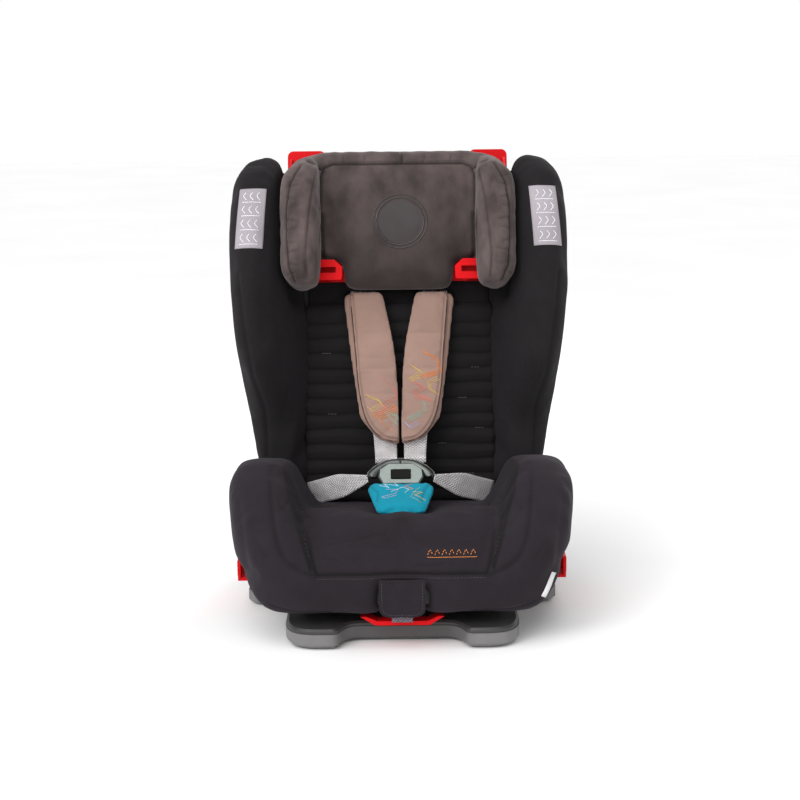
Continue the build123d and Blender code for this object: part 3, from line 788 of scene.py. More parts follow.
# Seams as (x, z) on the right, seen from the front
ARM_FOLD = [(0.180, 0.262), (0.186, 0.247), (0.184, 0.210), (0.174, 0.160), (0.163, 0.134), (0.146, 0.119),
            (PANEL_HALF, FRONT_SEAM_Z - 0.002)]
ARM_SIDE_FOLD = [(0.229, 0.196), (0.221, 0.150), (0.217, 0.116)]
INNER_SEAM = [(PANEL_HALF, FRONT_SEAM_Z), (0.124, 0.130), (0.131, 0.150), (0.140, 0.182), (0.156, 0.217),
              (0.166, 0.248)]
FRONT_SEAM = [(-PANEL_HALF, FRONT_SEAM_Z), (PANEL_HALF, FRONT_SEAM_Z)]
HEM_FOLD = [(0.185, 0.066), (0.150, 0.056), (0.100, 0.0535)]
CREASES = [
    [(-0.100, 0.141), (-0.055, 0.146), (-0.020, 0.150)],
    [(0.052, 0.152), (0.083, 0.148), (0.104, 0.146)],
    [(-0.112, 0.128), (-0.085, 0.124)],
    [(0.060, 0.120), (0.020, 0.1165)],
    [(-0.040, 0.138), (-0.005, 0.1365)],
    [(0.150, 0.200), (0.160, 0.196), (0.168, 0.184)],
    [(-0.152, 0.196), (-0.166, 0.187)],
    [(-0.200, 0.150), (-0.186, 0.135)],
    [(0.196, 0.142), (0.182, 0.128)],
]
CUSHION_TOP = ((-0.238, -0.205, -0.160, -0.112, -0.085, -0.055, 0.0, 0.068),
               (0.104, 0.131, 0.155, 0.165, 0.158, 0.146, 0.137, 0.130))  # y and z down the middle


def seat_shape(grid, places):
    """Closes the joint between the cushion and the front panel, and the gaps beside the adjuster's flap."""
    at = np.abs(places[..., 0]), places[..., 1], places[..., 2]
    pocket = inside(at, (-1, 0.034), (-1, -0.228), (-1, 0.100))
    joint = inside(at, (-1, 0.122), (-0.236, -0.200), (0.084, 0.112))
    crest = inside(at, (-1, 0.050), (-0.150, -0.092), (0.120, 0.1615 - 2.4 * at[0] ** 2))
    beside = inside(at, (0.034, 0.070), (-0.241, -0.226), (0.050, 0.104))
    return np.where((joint & ~pocket) | crest | beside, 1.0, grid)


def seat_cover():
    piece = soft_form("seat_cover", SEAT_NODES, 0.0052, 0.0080, seat_shape)
    seams = [FRONT_SEAM, *both(INNER_SEAM)]
    x, y, z = coordinates(piece).T
    held = near_lines(piece, seams, 0.005)
    held |= (z < 0.064) | (normals(piece)[:, 2] < -0.5) | ((np.abs(x) < 0.060) & (z < 0.1))
    held |= inside((np.abs(x), y, z), (-1, 0.050), (-0.145, -0.040), (-1, 0.158))
    swell(piece, 5.0, 0.005, held, 0.03)
    relaxed(piece, 2)
    subdivided(piece)
    # The dark amounts darken the seams and paint shade into the folds, the hem fold and the creases.
    carve(piece, [smooth_line(line, 0.004) for line in both(ARM_FOLD)], 0.0026, 0.0045, dark=0.45)
    carve(piece, seams, 0.0030, 0.0026, dark=0.95)
    carve(piece, both(ARM_SIDE_FOLD), 0.0022, 0.0060)
    carve(piece, both(HEM_FOLD), 0.0016, 0.0026, dark=0.5)
    carve(piece, CREASES, 0.0010, 0.0026, dark=0.25)
    # Painted shade on each armrest's inner wall above the cushion.
    x, y, z = coordinates(piece).T
    wall = 0.120 + 0.394 * (z - 0.1077)
    top = np.interp(y, *CUSHION_TOP)
    shade(piece, 0.88 * kept(wall + 0.005 - np.abs(x), 0.002) * kept(z - top - 0.006, 0.004))
    cover_as(piece, SEAT_NODES, "black_fabric", "seat", "black_fabric")
    rows = [*both([(x + 0.005, z) for x, z in INNER_SEAM[1:]]), [(x, z - 0.0055) for x, z in FRONT_SEAM]]
    stitches("seat_cover_stitching", piece, rows, WORLD, SEAT_THREAD, radius=0.0003)
    return piece


# Back: a ribbed cover, and the two side wings

RIB_TOP = 0.300
RIB_PITCH = 0.0235
RIB_STITCHES = [(-0.112, 3), (-0.104, 7), (0.070, 2), (0.118, 4), (0.098, 6), (0.124, 8), (0.066, 9),
                (0.108, 11)]  # the middle of each short row of stitches, and the channel that it lies in


def back_cover():
    piece = soft_form("back_cushion_cover", ["back_cushion"], 0.004, 0.0045)
    subdivided(piece)
    co, towards = seen_from(piece, BACK, FRONT)
    channels = []
    for k in range(1, 13):
        w = RIB_TOP - k * RIB_PITCH
        across = np.arange(-0.16, 0.17, 0.02)
        channels.append([(x, w + 0.0010 * sin(34 * x + 2.1 * k) + 0.0007 * sin(71 * x + k)) for x in across])
    away = nearest(co[:, [0, 2]], channels)
    crown = 0.0046 * np.clip(away / (RIB_PITCH / 2), 0, 1) ** 0.55 - 0.0022
    ribbed = (co[:, 2] < RIB_TOP + 0.004) & (towards > 0.5)
    move_to(piece, coordinates(piece) + np.where(ribbed, crown, 0)[:, None] * normals(piece))
    # Painted shade along each channel's groove, over its seam.
    shade(piece, np.where(ribbed, 0.8 * np.exp(-((away / 0.0022) ** 2)), 0))
    cover_as(piece, ["back_cushion"], "rib_fabric", "seat", "black_fabric")
    marks = []
    for x, k in RIB_STITCHES:
        w = RIB_TOP - k * RIB_PITCH
        marks.append([(x - 0.007, w), (x + 0.007, w)])
    finish = ("grey_thread", "seat", "black_fabric")
    stitches("back_cushion_stitching", piece, marks, BACK, finish, length=0.0032, radius=0.0003)


WING_SIDE_SEAM = [(0.012, 0.050), (0.012, 0.300), (0.010, 0.430), (-0.010, 0.505), (-0.050, 0.535)]
WING_FRONT_FOLD = [(0.240, 0.340), (0.233, 0.270), (0.220, 0.190), (0.205, 0.140), (0.204, 0.070)]


def wing_cover(name, side):
    nodes = [f"wing_pad_{name}", f"wing_shell_{name}"]
    piece = soft_form(f"wing_cover_{name}", nodes, 0.0055, 0.0105, wing_shape)
    from_side = {"plane": (1, 2), "facing": (side, 0, 0)}
    held = near_lines(piece, [WING_SIDE_SEAM], 0.006, BACK, **from_side)
    _, v, w = local(coordinates(piece), BACK).T
    held |= (v > 0.020) | (w < 0.055)
    swell(piece, 4.0, 0.006, held, 0.02)
    relaxed(piece, 2)
    subdivided(piece)
    # dark darkens the side seam and paints shade into the front fold.
    carve(piece, [WING_SIDE_SEAM], 0.0028, 0.0030, BACK, dark=0.8, **from_side)
    carve(piece, [[(side * x, w) for x, w in WING_FRONT_FOLD]], 0.0024, 0.0040, BACK, dark=0.6)
    cover_as(piece, [f"wing_pad_{name}"], "wing_fabric", "seat", "black_fabric")
    beside = [(v - 0.005, w) for v, w in WING_SIDE_SEAM]
    stitches(f"wing_stitching_{name}", piece, [beside], BACK, SEAT_THREAD, **from_side)
    return piece


def wing_shape(grid, places):
    """Leaves out the shell's flange behind the back cushion, and brings the lower end down to the armrest."""
    x, v, w = local(places.reshape(-1, 3), BACK).T
    at = np.abs(x), v, w
    fill = grid.ravel() * (at[0] > 0.142)
    fill[inside(at, (0.142, 0.204), (-0.010, 0.036), (0.020, 0.070))] = 1
    fill[inside(at, (0.142, 0.190), (0.002, 0.036), (0.020, 0.304))] = 1
    fill[inside(at, (0.140, 0.200), (0.0135, 0.038), (0.290, 0.515))] = 1
    return fill.reshape(grid.shape)


PATCH_W = (0.378, 0.470)  # the patch's lower and upper edges, up the back
PATCH_X = ((0.203, 0.2435), (0.197, 0.2365))  # its inner and outer edges, below and above


def wing_patch(name, side, cover):
    """The grey patch on the front of a wing, with a plain pattern of chevrons over bars."""
    columns, rows = 20, 40
    tree = surface_tree(cover)
    verts = []
    for j in range(rows + 1):
        t = j / rows
        inner, outer = [low * (1 - t) + high * t for low, high in zip(*PATCH_X)]
        for i in range(columns + 1):
            spot = (side * (inner + (outer - inner) * i / columns), PATCH_W[0] * (1 - t) + PATCH_W[1] * t)
            verts.append(laid_on(tree, [spot], BACK, (0, 2), FRONT, 0.0004)[0][0])
    faces = sheet_faces(columns, rows)
    piece = new_piece(f"wing_patch_{name}", verts, [face[::-1] for face in faces] if side > 0 else faces)
    thickened(piece, 0.0012)
    finish_as(piece, "patch_fabric", "seat", "black_fabric")
    lines = []
    for k in range(4):
        w = PATCH_W[0] + 0.010 + k * 0.0215
        lean = 0.0015 * k
        for x in (0.211 - lean, 0.221 - lean, 0.231 - lean):
            lines.append([(side * x, w), (side * (x + 0.004), w + 0.006), (side * x, w + 0.012)])
        lines.append([(side * (0.210 - lean), w - 0.004), (side * (0.236 - lean), w - 0.004)])
    finish = ("pale_thread", "seat", "black_fabric")
    stitches(f"wing_patch_bars_{name}", piece, lines, BACK, finish, pitch=0.0030, length=0.0030,
             radius=0.0006)


# Headrest: one velour cover over the centre pad and both side pads

HEAD_NODES = ["head_pad", "head_side_pad_left", "head_side_pad_right"]
PANEL = 0.116  # half the width of the centre panel
BAND_W = 0.518  # where the border band starts, up the back
EMBLEM = (0.003, 0.4275)
EMBLEM_R = 0.0415
HEAD_TOP_W = 0.541
TOP_CORNER_R = 0.076
LOW_CORNER_R = 0.040
HEAD_SEAMS = [
    [(-PANEL, 0.322), (-PANEL, 0.498), (-0.112, 0.512), (-0.100, BAND_W), (0.100, BAND_W), (0.112, 0.512),
     (PANEL, 0.498), (PANEL, 0.322)],
    [(-0.114, 0.508), (-0.136, 0.517)],
    [(0.114, 0.508), (0.136, 0.517)],
    [(0.007, BAND_W), (0.007, 0.540)],
]
OUTER_SEAM = [(0.152, 0.322), (0.165, 0.350), (0.1685, 0.390), (0.1685, 0.440), (0.162, 0.476),
              (0.146, 0.508)]
SIDE_PAD_SEAM = [(0.122, 0.500), (0.128, 0.462), (0.133, 0.430), (0.139, 0.370), (0.137, 0.334)]
PAD_CREASE = [(0.1160, 0.440), (0.1155, 0.400), (0.1150, 0.350)]


def head_shape(grid, places):
    """Rounds the outer corners, and wraps the cover over the top of the shell between them."""
    x, v, w = local(places.reshape(-1, 3), BACK).T
    at = np.abs(x), v, w
    fill = grid.ravel().copy()
    fill[inside(at, (-1, 0.142), (-0.036, 0.003), (0.500, HEAD_TOP_W))] = 1
    fill[inside(at, (-1, 0.112), (-0.036, 0.0135), (0.528, HEAD_TOP_W))] = 1
    corners = ((HEAD_TOP_W - TOP_CORNER_R, 1, TOP_CORNER_R), (0.320 + LOW_CORNER_R, -1, LOW_CORNER_R))
    for middle, way, radius in corners:
        dx, dw = at[0] - (0.180 - radius), way * (w - middle)
        fill[(dx > 0) & (dw > 0) & (dx**2 + dw**2 > radius**2)] = 0
    return fill.reshape(grid.shape)


def headrest_cover():
    piece = soft_form("headrest_cover", HEAD_NODES, 0.0050, 0.0085, head_shape)
    held = near_lines(piece, HEAD_SEAMS + both(OUTER_SEAM), 0.005, BACK)
    _, v, w = local(coordinates(piece), BACK).T
    held |= (v > -0.012) | (w < 0.326)
    swell(piece, 4.0, 0.006, held, 0.03)
    relaxed(piece, 1)
    subdivided(piece)
    # dark darkens the seams and paints shade into the crease beside each side pad and into the tucks.
    carve(piece, HEAD_SEAMS, 0.0034, 0.0026, BACK, dark=0.9)
    carve(piece, both(OUTER_SEAM), 0.0028, 0.0024, BACK, dark=0.9)
    carve(piece, both(SIDE_PAD_SEAM), 0.0020, 0.0022, BACK, dark=0.55)
    carve(piece, both(PAD_CREASE), 0.0020, 0.0050, BACK, dark=0.9)
    tucks = [[(x, 0.520), (x + 0.002, 0.532)] for x in (-0.085, -0.052, 0.040, 0.081)]
    for k in range(10):
        w = 0.340 + 0.0165 * k
        tucks += both([(0.167, w), (0.157 - 0.004 * (k % 3), w + 0.003 * (-1) ** k)])
    carve(piece, tucks, 0.0011, 0.0020, BACK, dark=0.35)
    cover_as(piece, HEAD_NODES, "velour", "headrest", "velour")
    rows = [[(x * 1.03, w + 0.004) for x, w in HEAD_SEAMS[0][3:5]]]
    rows += both([(x - 0.005, w) for x, w in OUTER_SEAM])
    stitches("headrest_stitching", piece, rows, BACK, HEAD_THREAD)
    emblem(piece)


def emblem(cover):
    """A plain round badge: a smooth disc inside two embossed rings."""
    tree = surface_tree(cover)
    turns = [2 * pi * k / 72 for k in range(72)]

    def circle(share, lift):
        reach = EMBLEM_R * share
        spots = [(EMBLEM[0] + reach * cos(turn), EMBLEM[1] + reach * sin(turn)) for turn in turns]
        return [point for point, _ in laid_on(tree, spots, BACK, (0, 2), FRONT, lift)]

    count = len(turns)
    middle = circle(0.0, 0.0012)[0]
    circles = [circle(share, lift) for share, lift in ((0.40, 0.0012), (0.74, 0.0010), (0.84, -0.0016))]
    verts = [middle] + [point for ring in circles for point in ring]
    faces = [(0, 1 + k, 1 + (k + 1) % count) for k in range(count)]
    for a in (1, 1 + count):
        b = a + count
        faces += [(a + k, b + k, b + (k + 1) % count, a + (k + 1) % count) for k in range(count)]
    disc = new_piece("headrest_badge_disc", verts, faces)
    finish_as(disc, "badge_fabric", "headrest", "velour")
    for index, (share, radius) in enumerate(((0.88, 0.0011), (1.0, 0.0009))):
        finish = ("badge_ring", "headrest", "velour")
        tube(f"headrest_badge_ring_{index}", circle(share, 0.0001), radius, finish, closed=True)


# Harness


def strap_edges(place, rows):
    """The two edges of a strap from (left, right, up, out) rows in a placed frame: x, x, height and depth."""
    return [(place @ Vector((a, v, w)), place @ Vector((b, v, w))) for a, b, w, v in rows]


def mirror_x(edges, side):
    if side > 0:
        return edges
    return [(Vector((-b.x, b.y, b.z)), Vector((-a.x, a.y, a.z))) for a, b in edges]


def shoulder_strap(name, side):
    foot = [(Vector((0.0055, y, z)), Vector((0.0385, y, z))) for y, z in ((0.0345, 0.1990), (0.0365, 0.2085))]
    rows = [(0.0055, 0.0395, -0.004, 0.0006), (0.006, 0.0415, 0.020, -0.0022), (0.010, 0.048, 0.060, -0.0016),
            (0.021, 0.059, 0.130, 0.0), (0.036, 0.074, 0.236, 0.0)]
    front = strap_edges(HARNESS, rows)
    behind = [(0.036, 0.074, 0.3175, 0.002), (0.036, 0.074, 0.3175, 0.036), (0.036, 0.074, 0.312, 0.0392),
              (0.030, 0.068, 0.285, 0.0392), (0.022, 0.060, 0.262, 0.0392)]
    rear = strap_edges(BACK, behind)
    edges = mirror_x([*foot, *front, *rear], side)
    webbing(f"shoulder_webbing_{name}", edges, f"shoulder_strap_{name}")


def lap_strap(name, side):
    inner, outer = Vector((0.050, 0.013, 0.1805)), Vector((0.131, 0.060, 0.1475))
    along = outer - inner
    across = Vector((0, 0.1, 1))
    across = (across - along * (across.dot(along) / along.length_squared)).normalized()
    bow = along.cross(across).normalized() * 0.004
    edges = []
    for t in (0.0, 0.25, 0.5, 0.75, 1.0):
        half = across * (0.0055 + 0.0125 * min(1.0, 2.2 * t))
        middle = inner + along * t + bow * sin(pi * t) * (1 if bow.y < 0 else -1)
        edges.append((middle - half, middle + half))
    for turn in (Vector((0.0075, 0.0080, -0.0040)), Vector((0.0105, 0.0300, -0.0100))):
        edges.append((outer + turn - half, outer + turn + half))
    webbing(f"lap_webbing_{name}", mirror_x(edges, side), f"lap_strap_{name}")


def level_edges(points, half):
    """The edges of a strap of one width that lies across the seat."""
    return [(p - Vector((half, 0, 0)), p + Vector((half, 0, 0))) for p in points]


def crotch_strap():
    points = [Vector((0, -0.062, z)) for z in (0.068, 0.110, 0.140)]
    points += [CROTCH @ Vector((0, u, 0.001)) for u in (0.004, 0.03, 0.055)]
    webbing("crotch_webbing", level_edges(points, 0.019), "crotch_strap", wave=0.0)


def adjuster_strap():
    points = [BACK @ Vector((0, 0.044, w)) for w in (0.232, 0.150, 0.060, 0.004)]
    points += [Vector((0, y, 0.0565)) for y in (0.104, 0.0, -0.120, -0.222)]
    points += [Vector((0, -0.2365, 0.053)), Vector((0, -0.2380, 0.040))]
    webbing("adjuster_webbing", level_edges(points, 0.0145), "adjuster_strap", "dark_webbing", wave=0.0)


# A shoulder pad's front panel as (x, up) on the right: its outer edge, and its edge along the middle
PAD_EDGE = [(0.004, 0.004), (0.030, 0.010), (0.052, 0.037), (0.0635, 0.085), (0.069, 0.150), (0.0755, 0.225),
            (0.0765, 0.246)]
PAD_INNER_EDGE = [(-0.001, -0.010), (0.000, 0.040), (0.003, 0.100), (0.009, 0.160), (0.022, 0.226),
                  (0.028, 0.250)]
ZIGZAG = {
    "left": [
        ("coral", [(0.028, 0.104), (0.010, 0.088), (0.006, 0.076), (0.030, 0.062), (0.024, 0.060)]),
        ("yellow", [(0.053, 0.078), (0.034, 0.070), (0.030, 0.064), (0.046, 0.055), (0.051, 0.060)]),
        ("orange", [(0.044, 0.046), (0.010, 0.062), (0.008, 0.056), (0.036, 0.042), (0.018, 0.024)]),
        ("coral", [(0.034, 0.050), (0.014, 0.060)]),
        ("mint", [(0.024, 0.050), (0.008, 0.048), (0.006, 0.032), (0.020, 0.046)]),
    ],
    "right": [
        ("orange", [(0.036, 0.144), (0.056, 0.134), (0.060, 0.116), (0.032, 0.106), (0.054, 0.112)]),
        ("yellow", [(0.016, 0.124), (0.032, 0.114), (0.014, 0.102), (0.028, 0.106)]),
        ("yellow", [(0.056, 0.104), (0.042, 0.096), (0.044, 0.086), (0.056, 0.080)]),
        ("coral", [(0.018, 0.098), (0.036, 0.090), (0.018, 0.082), (0.046, 0.070), (0.020, 0.074)]),
        ("mint", [(0.034, 0.068), (0.036, 0.054), (0.010, 0.040), (0.030, 0.048)]),
        ("lilac", [(0.006, 0.036), (0.012, 0.028), (0.026, 0.036)]),
    ],
}
PAD_STEP = 0.003


def shoulder_pad(name, side):
    """A folded comfort pad: a back layer, and a front panel set in from its outer edge."""
    node = f"shoulder_pad_{name}"
    layers = soft_form(f"{node}_back_layer", [node], PAD_STEP, 0.0030, pad_layer(side, False), 0.40)
    front = soft_form(f"{node}_cover", [node], PAD_STEP, 0.0034, pad_layer(side, True), 0.36)
    _, towards = seen_from(front, HARNESS, FRONT)
    swell(front, 3.0, 0.003, towards < 0.2, 0.02)
    subdivided(front)
    inset = [(side * (x - 0.0045), z + 0.004) for x, z in PAD_EDGE]
    carve(front, [smooth_line(inset, 0.004)], 0.0012, 0.0016, HARNESS, dark=0.4)
    cover_as(front, [node], "beige_fabric", "seat", "beige_fabric")
    finish_as(layers, "beige_fabric", "seat", "beige_fabric")
    border = [(side * (x - 0.0012), z + 0.0008) for x, z in smooth_line(PAD_EDGE[:6], 0.003)]
    rim = [p for p, _ in laid_on(surface_tree(front), border, HARNESS, (0, 2), FRONT, 0.0)]
    finish = ("hem_fabric", "seat", "beige_fabric")
    tube(f"shoulder_pad_hem_{name}", smooth_line(rim, 0.003), 0.0010, finish)
    motifs = []
    for colour, line in ZIGZAG[name]:
        row = [(side * x, z) for x, z in line]
        shifts = ((0.0, 0.0), (0.0022, -0.0021), (0.0044, -0.0042))
        motifs.append((colour, [[(x + dx, z + dz) for x, z in row] for dx, dz in shifts]))
    embroider("shoulder_pad_embroidery_" + name, front, motifs, HARNESS, "beige_fabric", pitch=0.0032,
              length=0.0028, radius=0.0005)


def embroider(name, cover, motifs, place, slot, **sewing):
    """Zigzags of coloured thread: motifs pairs a colour with its lines, whose runs are sewn one by one."""
    for k, (colour, lines) in enumerate(motifs):
        rows = [run for line in lines for run in zip(line, line[1:])]
        stitches(f"{name}_{k}", cover, rows, place, (f"{colour}_thread", "seat", slot), **sewing)


def pad_layer(side, front):
    """Keeps one of a shoulder pad's two layers."""

    def shape(grid, places):
        co = local(places.reshape(-1, 3), HARNESS)
        v = co[:, 1]
        out = side * co[:, 0]
        middle = smooth_line(PAD_INNER_EDGE, 0.004)
        fill = kept(out - np.interp(co[:, 2], middle[:, 1], middle[:, 0]), PAD_STEP)
        if front:
            line = smooth_line(PAD_EDGE, 0.004)
            fill *= kept(np.interp(co[:, 2], line[:, 1], line[:, 0]) - out, PAD_STEP)
            fill *= kept(-0.0092 - v, PAD_STEP)
        else:
            fill *= kept(v + 0.0088, PAD_STEP)
        return grid * fill.reshape(grid.shape)

    return shape


CROTCH_FOLDS = [
    [(-0.046, 0.040), (-0.034, 0.022), (-0.036, 0.004)],
    [(0.044, 0.044), (0.036, 0.028), (0.030, 0.000)],
]
CROTCH_MOTIFS = [
    ("white", [(-0.032, 0.038), (-0.018, 0.031), (-0.026, 0.042), (-0.004, 0.035), (-0.010, 0.044)]),
    ("lilac", [(-0.022, 0.027), (-0.004, 0.026), (-0.008, 0.016), (-0.028, 0.009), (-0.024, 0.005),
               (-0.006, 0.012)]),
    ("white", [(-0.014, 0.021), (0.002, 0.032), (0.012, 0.026), (0.006, 0.018)]),
    ("coral", [(0.016, 0.040), (0.006, 0.034), (0.018, 0.028), (0.010, 0.024)]),
    ("yellow", [(0.018, 0.020), (0.032, 0.020), (0.020, 0.012), (0.036, 0.004)]),
    ("mint", [(0.028, 0.032), (0.022, 0.024), (0.014, 0.008), (0.030, -0.004)]),
]


def crotch_pad():
    piece = soft_form("crotch_pad_cover", ["crotch_pad"], 0.0030, 0.0032)
    _, towards = seen_from(piece, CROTCH, UPWARD)
    swell(piece, 4.0, 0.0035, towards < 0.1, 0.03)
    subdivided(piece)
    from_above = {"plane": (0, 1), "facing": UPWARD}
    # dark paints shade into the folds.
    carve(piece, CROTCH_FOLDS, 0.0014, 0.0030, CROTCH, dark=0.3, **from_above)
    cover_as(piece, ["crotch_pad"], "turquoise_fabric", "seat", "turquoise_fabric")
    motifs = [(colour, [line]) for colour, line in CROTCH_MOTIFS]
    embroider("crotch_pad_embroidery", piece, motifs, CROTCH, "turquoise_fabric", pitch=0.0028,
              length=0.0025, radius=0.0006, **from_above)


TONGUE_OUTER = [(0.0008, 0.0508), (0.0120, 0.0500), (0.0220, 0.0470), (0.0310, 0.0420), (0.0400, 0.0360),
                (0.0490, 0.0270), (0.0505, 0.0210), (0.0470, 0.0165)]
TONGUE_INNER = [(0.0008, 0.0360), (0.0090, 0.0360), (0.0170, 0.0355), (0.0240, 0.0310), (0.0310, 0.0250),
                (0.0350, 0.0190), (0.0370, 0.0165), (0.0400, 0.0150)]


def buckle():
    """The tongues' moulded tops, which arch over the housing's upper end and hold the webbing."""
    for name, side in SIDES.items():
        plate = arched(f"buckle_tongue_top_{name}", TONGUE_INNER, TONGUE_OUTER, 0.0030, 0.0062, side)
        finish_as(plate, "tongue_metal", "seat", "buckle_metal")
        arc = smooth_line([(x, u - 0.0006) for x, u in TONGUE_OUTER[:7]], 0.003)
        rim = [BUCKLE @ Vector((side * x, u, 0.0042)) for x, u in arc]
        tube(f"tongue_rim_{name}", rim, 0.0013, ("buckle_metal", "seat", "buckle_metal"))


def arched(name, inner, outer, base, height, side):
    """A plate between two lines in the buckle's frame, with a rounded top and a flat underside."""
    columns = 10
    profile = []
    for k in range(columns + 1):
        profile.append((k / columns, base + height * sin(pi * (0.04 + 0.92 * k / columns)) ** 0.6))
    profile += [(1.0, base), (0.0, base)]
    rings = []
    for low, high in zip(*[resampled(smooth_line(line, 0.0005), 30) for line in (inner, outer)]):
        spots = [(low + (high - low) * share, n) for share, n in profile]
        rings.append([BUCKLE @ Vector((side * x, u, n)) for (x, u), n in spots])
    return new_piece(name, *lofted(rings, flip=side > 0))


# Front panel details


FLAP_LENGTH = 0.053
TAG_CORNERS = [(0.2080, 0.1040), (0.2150, 0.0990), (0.1990, 0.0690), (0.1920, 0.0730)]


def flap():
    """The cloth flap over the adjuster, which hangs from its top edge and has a sewn border."""
    low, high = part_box("adjuster_flap")
    half = (high.x - low.x) / 2
    top = high.z
    rows, columns = 26, 26
    verts = []
    depth = (low.y + high.y) / 2
    for j in range(rows + 1):
        t = j / rows
        corner = max(0.0, (t - 0.76) / 0.24)
        width = half * (1 - 0.40 * (1 - (1 - corner**2) ** 0.5))
        for i in range(columns + 1):
            s = 2 * i / columns - 1
            belly = 0.0018 * (1 - s * s) * sin(pi * min(1.0, t * 1.1))
            verts.append((width * s, depth - belly - 0.0006 * sin(7 * s + 5 * t), top - FLAP_LENGTH * t))
    piece = new_piece("adjuster_flap_cloth", verts, sheet_faces(columns, rows))
    thickened(piece, 0.0026)
    bevel = piece.modifiers.new("Edge", "BEVEL")
    bevel.width = 0.0008
    bevel.segments = 2
    bake(piece)
    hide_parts("adjuster_flap")
    finish_as(piece, "black_fabric", "flap", "black_fabric")
    edge = [(half - 0.004, top - 0.004), (half - 0.004, top - 0.038), (half - 0.007, top - 0.045),
            (half - 0.014, top - 0.0495), (0.0, top - 0.0495)]
    stitches("adjuster_flap_stitching", piece, both(edge), WORLD, FLAP_THREAD)


def small_trims(cover):
    """The sewn-in tag on the right armrest, and a row of sewn chevrons over a bar on the front panel."""
    tree = surface_tree(cover)
    corners = [np.array(corner) for corner in TAG_CORNERS]
    rows, columns = 8, 3
    verts = []
    for j in range(rows + 1):
        for i in range(columns + 1):
            s = i / columns
            top = corners[0] * (1 - s) + corners[1] * s
            low = corners[3] * (1 - s) + corners[2] * s
            spot = top * (1 - j / rows) + low * (j / rows)
            verts.append(laid_on(tree, [spot], WORLD, (0, 2), FRONT, 0.0010 + 0.0022 * sin(pi * s))[0][0])
    tag = thickened(new_piece("sewn_in_tag", verts, sheet_faces(columns, rows)), 0.0005, -1)
    finish_as(tag, "tag_fabric", "seat", "black_fabric")
    lines = [[(x, 0.1290), (x + 0.0035, 0.1340), (x + 0.0070, 0.1290)] for x in 0.036 + 0.0100 * np.arange(7)]
    lines.append([(0.036, 0.1262), (0.104, 0.1262)])
    finish = ("orange_thread", "seat", "black_fabric")
    stitches("cushion_border_stitching", cover, lines, WORLD, finish, pitch=0.0030, length=0.0028,
             radius=0.00055)


# Raised details on the rear and the sides

REAR_FACE = 0.0575  # how far behind the back's frame the rear cover's outer face lies


def raised(name, place, spans, base, height, radius, finish):
    """Raised pads of moulded plastic with rounded corners and a rolled edge, on a plane of a placed frame."""
    levels = [(0.0, base), (0.0, base + 0.35 * height), (0.25 * height, base + 0.85 * height),
              (0.8 * height, base + height)]
    verts, faces = [], []
    for x0, x1, w0, w1 in spans:
        corner = min(radius, (x1 - x0) / 2.02, (w1 - w0) / 2.02)
        middles = [(x1 - corner, w1 - corner), (x0 + corner, w1 - corner), (x0 + corner, w0 + corner),
                   (x1 - corner, w0 + corner)]
        rings = []
        for inset, depth in levels:
            reach = corner - inset
            ring = []
            for k, (x, w) in enumerate(middles):
                for turn in [pi / 2 * (k + step / 6) for step in range(7)]:
                    ring.append(place @ Vector((x + reach * cos(turn), depth, w + reach * sin(turn))))
            rings.append(ring)
        more_verts, more_faces = lofted(rings, len(verts), flip=True)
        verts += more_verts
        faces += more_faces
    return finish_as(new_piece(name, verts, faces), *finish)


def rear_details():
    """Ribs, a border and a panel moulded on the rear cover, and stiffening ribs on the back shell."""
    cover_finish = ("cover_plastic", "seat", "black_plastic")
    shell_finish = ("black_plastic", "seat", "black_plastic")
    ribs = [(-0.106, 0.106, w, w + 0.007) for w in np.arange(0.060, 0.200, 0.020)]
    raised("rear_cover_ribs", BACK, ribs, REAR_FACE, 0.0022, 0.0035, cover_finish)
    frame_bars = [(-0.118, 0.118, 0.425, 0.431), (-0.118, 0.118, 0.030, 0.036),
                  (-0.124, -0.118, 0.036, 0.425), (0.118, 0.124, 0.036, 0.425)]
    raised("rear_cover_border", BACK, frame_bars, REAR_FACE, 0.0018, 0.003, cover_finish)
    panel = [(-0.092, 0.092, 0.225, 0.400)]
    raised("rear_cover_panel", BACK, panel, REAR_FACE, 0.0026, 0.020, shell_finish)
    shell_ribs = [(side * 0.1445 - 0.002, side * 0.1445 + 0.002, w, w + 0.042) for side in (-1, 1)
                  for w in np.arange(0.030, 0.480, 0.060)]
    raised("back_shell_ribs", BACK, shell_ribs, 0.0355, 0.0040, 0.002, shell_finish)


def side_details():
    """Grip ribs on the outer lip of each lap-belt hook."""
    lip, bottom, top, width = 0.243, 0.051, 0.074, 0.0032
    for name, side in SIDES.items():
        place = Matrix.Translation((side * lip, 0, 0)) @ Matrix.Rotation(-side * pi / 2, 4, "Z")
        starts = [-side * y - width / 2 for y in (-0.052, -0.042, -0.032, 0.008, 0.018, 0.028)]
        spans = [(x, x + width, bottom, top) for x in starts]
        finish = ("red_plastic", "seat", "red_plastic")
        raised(f"lap_guide_ribs_{name}", place, spans, 0, 0.0014, 0.0015, finish)


# CAD nodes that keep their own shape

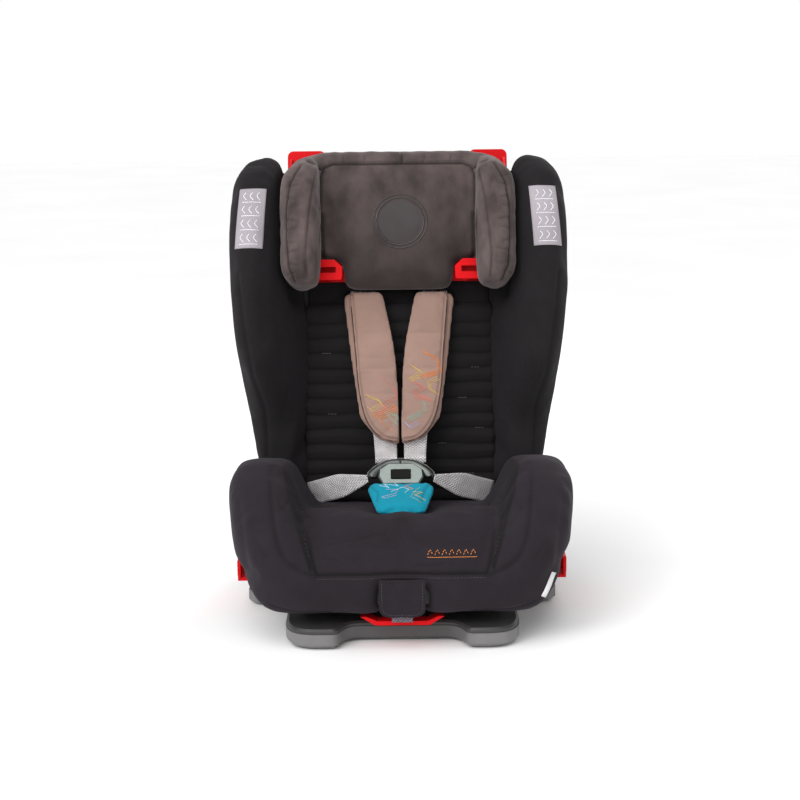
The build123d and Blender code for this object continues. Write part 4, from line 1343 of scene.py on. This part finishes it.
KEPT_NODES = {
    "base_plastic": ["base_tray", "base_sides"],
    "cover_plastic": ["base_cover", "rear_cover"],
    "black_plastic": ["recline_rails", "seat_shell", "slide_shoes", "adjuster_housing", "back_shell",
                      "rod_guides", "headrest_carriage", "wing_shell_left", "wing_shell_right"],
    "red_plastic": ["recline_handle", "adjuster_lever", "headrest_shell", "release_handle",
                    "lap_guide_left", "lap_guide_right", "belt_guide_left", "belt_guide_right"],
    "steel": ["base_screws", "recline_rack", "hinge_rod", "crotch_anchor", "pull_strip", "locking_pin",
              "harness_yoke", "back_screws", "headrest_racks", "headrest_rods", "latch_bar"],
    "rubber": ["foot_pads"],
    "foam": ["seat_foam"],
    "buckle_metal": ["buckle_housing"],
    "button_plastic": ["buckle_button"],
    "tongue_metal": ["buckle_tongue_left", "buckle_tongue_right"],
}
ROUNDED = {"base_tray": 0.0020, "base_cover": 0.0016, "headrest_shell": 0.0014, "rear_cover": 0.0016,
           "seat_shell": 0.0014, "buckle_housing": 0.0012, "recline_handle": 0.0016}


def dress_nodes():
    for material, name in [(material, name) for material, names in KEPT_NODES.items() for name in names]:
        node = frame["nodes"][name]
        node.data.materials.clear()
        node.data.materials.append(MATERIALS[material])
        bevel = node.modifiers.new("Edges", "BEVEL")
        bevel.width = ROUNDED.get(name, 0.0006)
        bevel.segments = 2
        bevel.limit_method = "ANGLE"
        bevel.angle_limit = radians(35)


# Stage


def studio():
    """A pale world, white up to a little above the horizon and greyer overhead."""
    world = bpy.data.worlds.new("studio")
    world.use_nodes = True
    tree = world.node_tree
    height = tree.nodes.new("ShaderNodeSeparateXYZ")
    tree.links.new(tree.nodes.new("ShaderNodeTexCoord").outputs["Generated"], height.inputs[0])
    walls = tree.nodes.new("ShaderNodeValToRGB")
    for element, position, white in zip(walls.color_ramp.elements, (0.10, 0.45), (1, 0.55)):
        element.position = position
        element.color = (white, white, white, 1)
    tree.links.new(height.outputs["Z"], walls.inputs["Fac"])
    tree.links.new(walls.outputs["Color"], tree.nodes["Background"].inputs["Color"])
    bpy.context.scene.world = world


def lamps():
    """A broad sun and three round panels, all aimed at the middle of the seat."""
    for name, kind, place, power, size in (
        ("sky_panel", "SUN", (-0.5, -0.7, 1.5), 1.85, radians(70)),
        ("key", "AREA", (-1.5, -1.9, 1.9), 20, 1.2),
        ("fill", "AREA", (1.9, -1.7, 1.0), 3, 1.8),
        ("rim", "AREA", (0.9, 1.9, 1.5), 12, 1.4),
    ):
        light = bpy.data.lights.new(name, kind)
        light.energy = power
        if kind == "SUN":
            light.angle = size
        else:
            light.shape = "DISK"
            light.size = size
        lamp = linked(name, light)
        lamp.location = place
        lamp.rotation_euler = (Vector((0, 0, 0.3)) - lamp.location).to_track_quat("-Z", "Y").to_euler()


def stage():
    """A pale floor, soft studio light and the camera."""
    floor = new_piece("floor", [(-9, -9, 0), (9, -9, 0), (9, 9, 0), (-9, 9, 0)], [(0, 1, 2, 3)])
    paint = Look("floor_paint", 0.9)
    paint.colour(paint.ramp(paint.noise(2, 2), [(0.3, (0.92, 0.92, 0.92)), (0.7, (0.95, 0.95, 0.95))]))
    floor.data.materials.append(paint.material)
    studio()
    lamps()
    camera = linked("camera", bpy.data.cameras.new("camera"))
    camera.data.lens = 78.75
    distance, elevation, aim_height, roll = 2.6, radians(12), 0.304, radians(-0.65)
    camera.matrix_world = (
        Matrix.Translation((0, -distance * cos(elevation), aim_height + distance * sin(elevation)))
        @ Matrix.Rotation(pi / 2 - elevation, 4, "X")
        @ Matrix.Rotation(roll, 4, "Z")
    )
    bpy.context.scene.camera = camera
    bpy.context.scene.view_settings.view_transform = "Standard"


stage()
dress_nodes()
cover = seat_cover()
back_cover()
rear_details()
side_details()
for name, side in SIDES.items():
    wing = wing_cover(name, side)
    wing_patch(name, side, wing)
    shoulder_strap(name, side)
    lap_strap(name, side)
    shoulder_pad(name, side)
headrest_cover()
crotch_strap()
adjuster_strap()
crotch_pad()
buckle()
flap()
small_trims(cover)
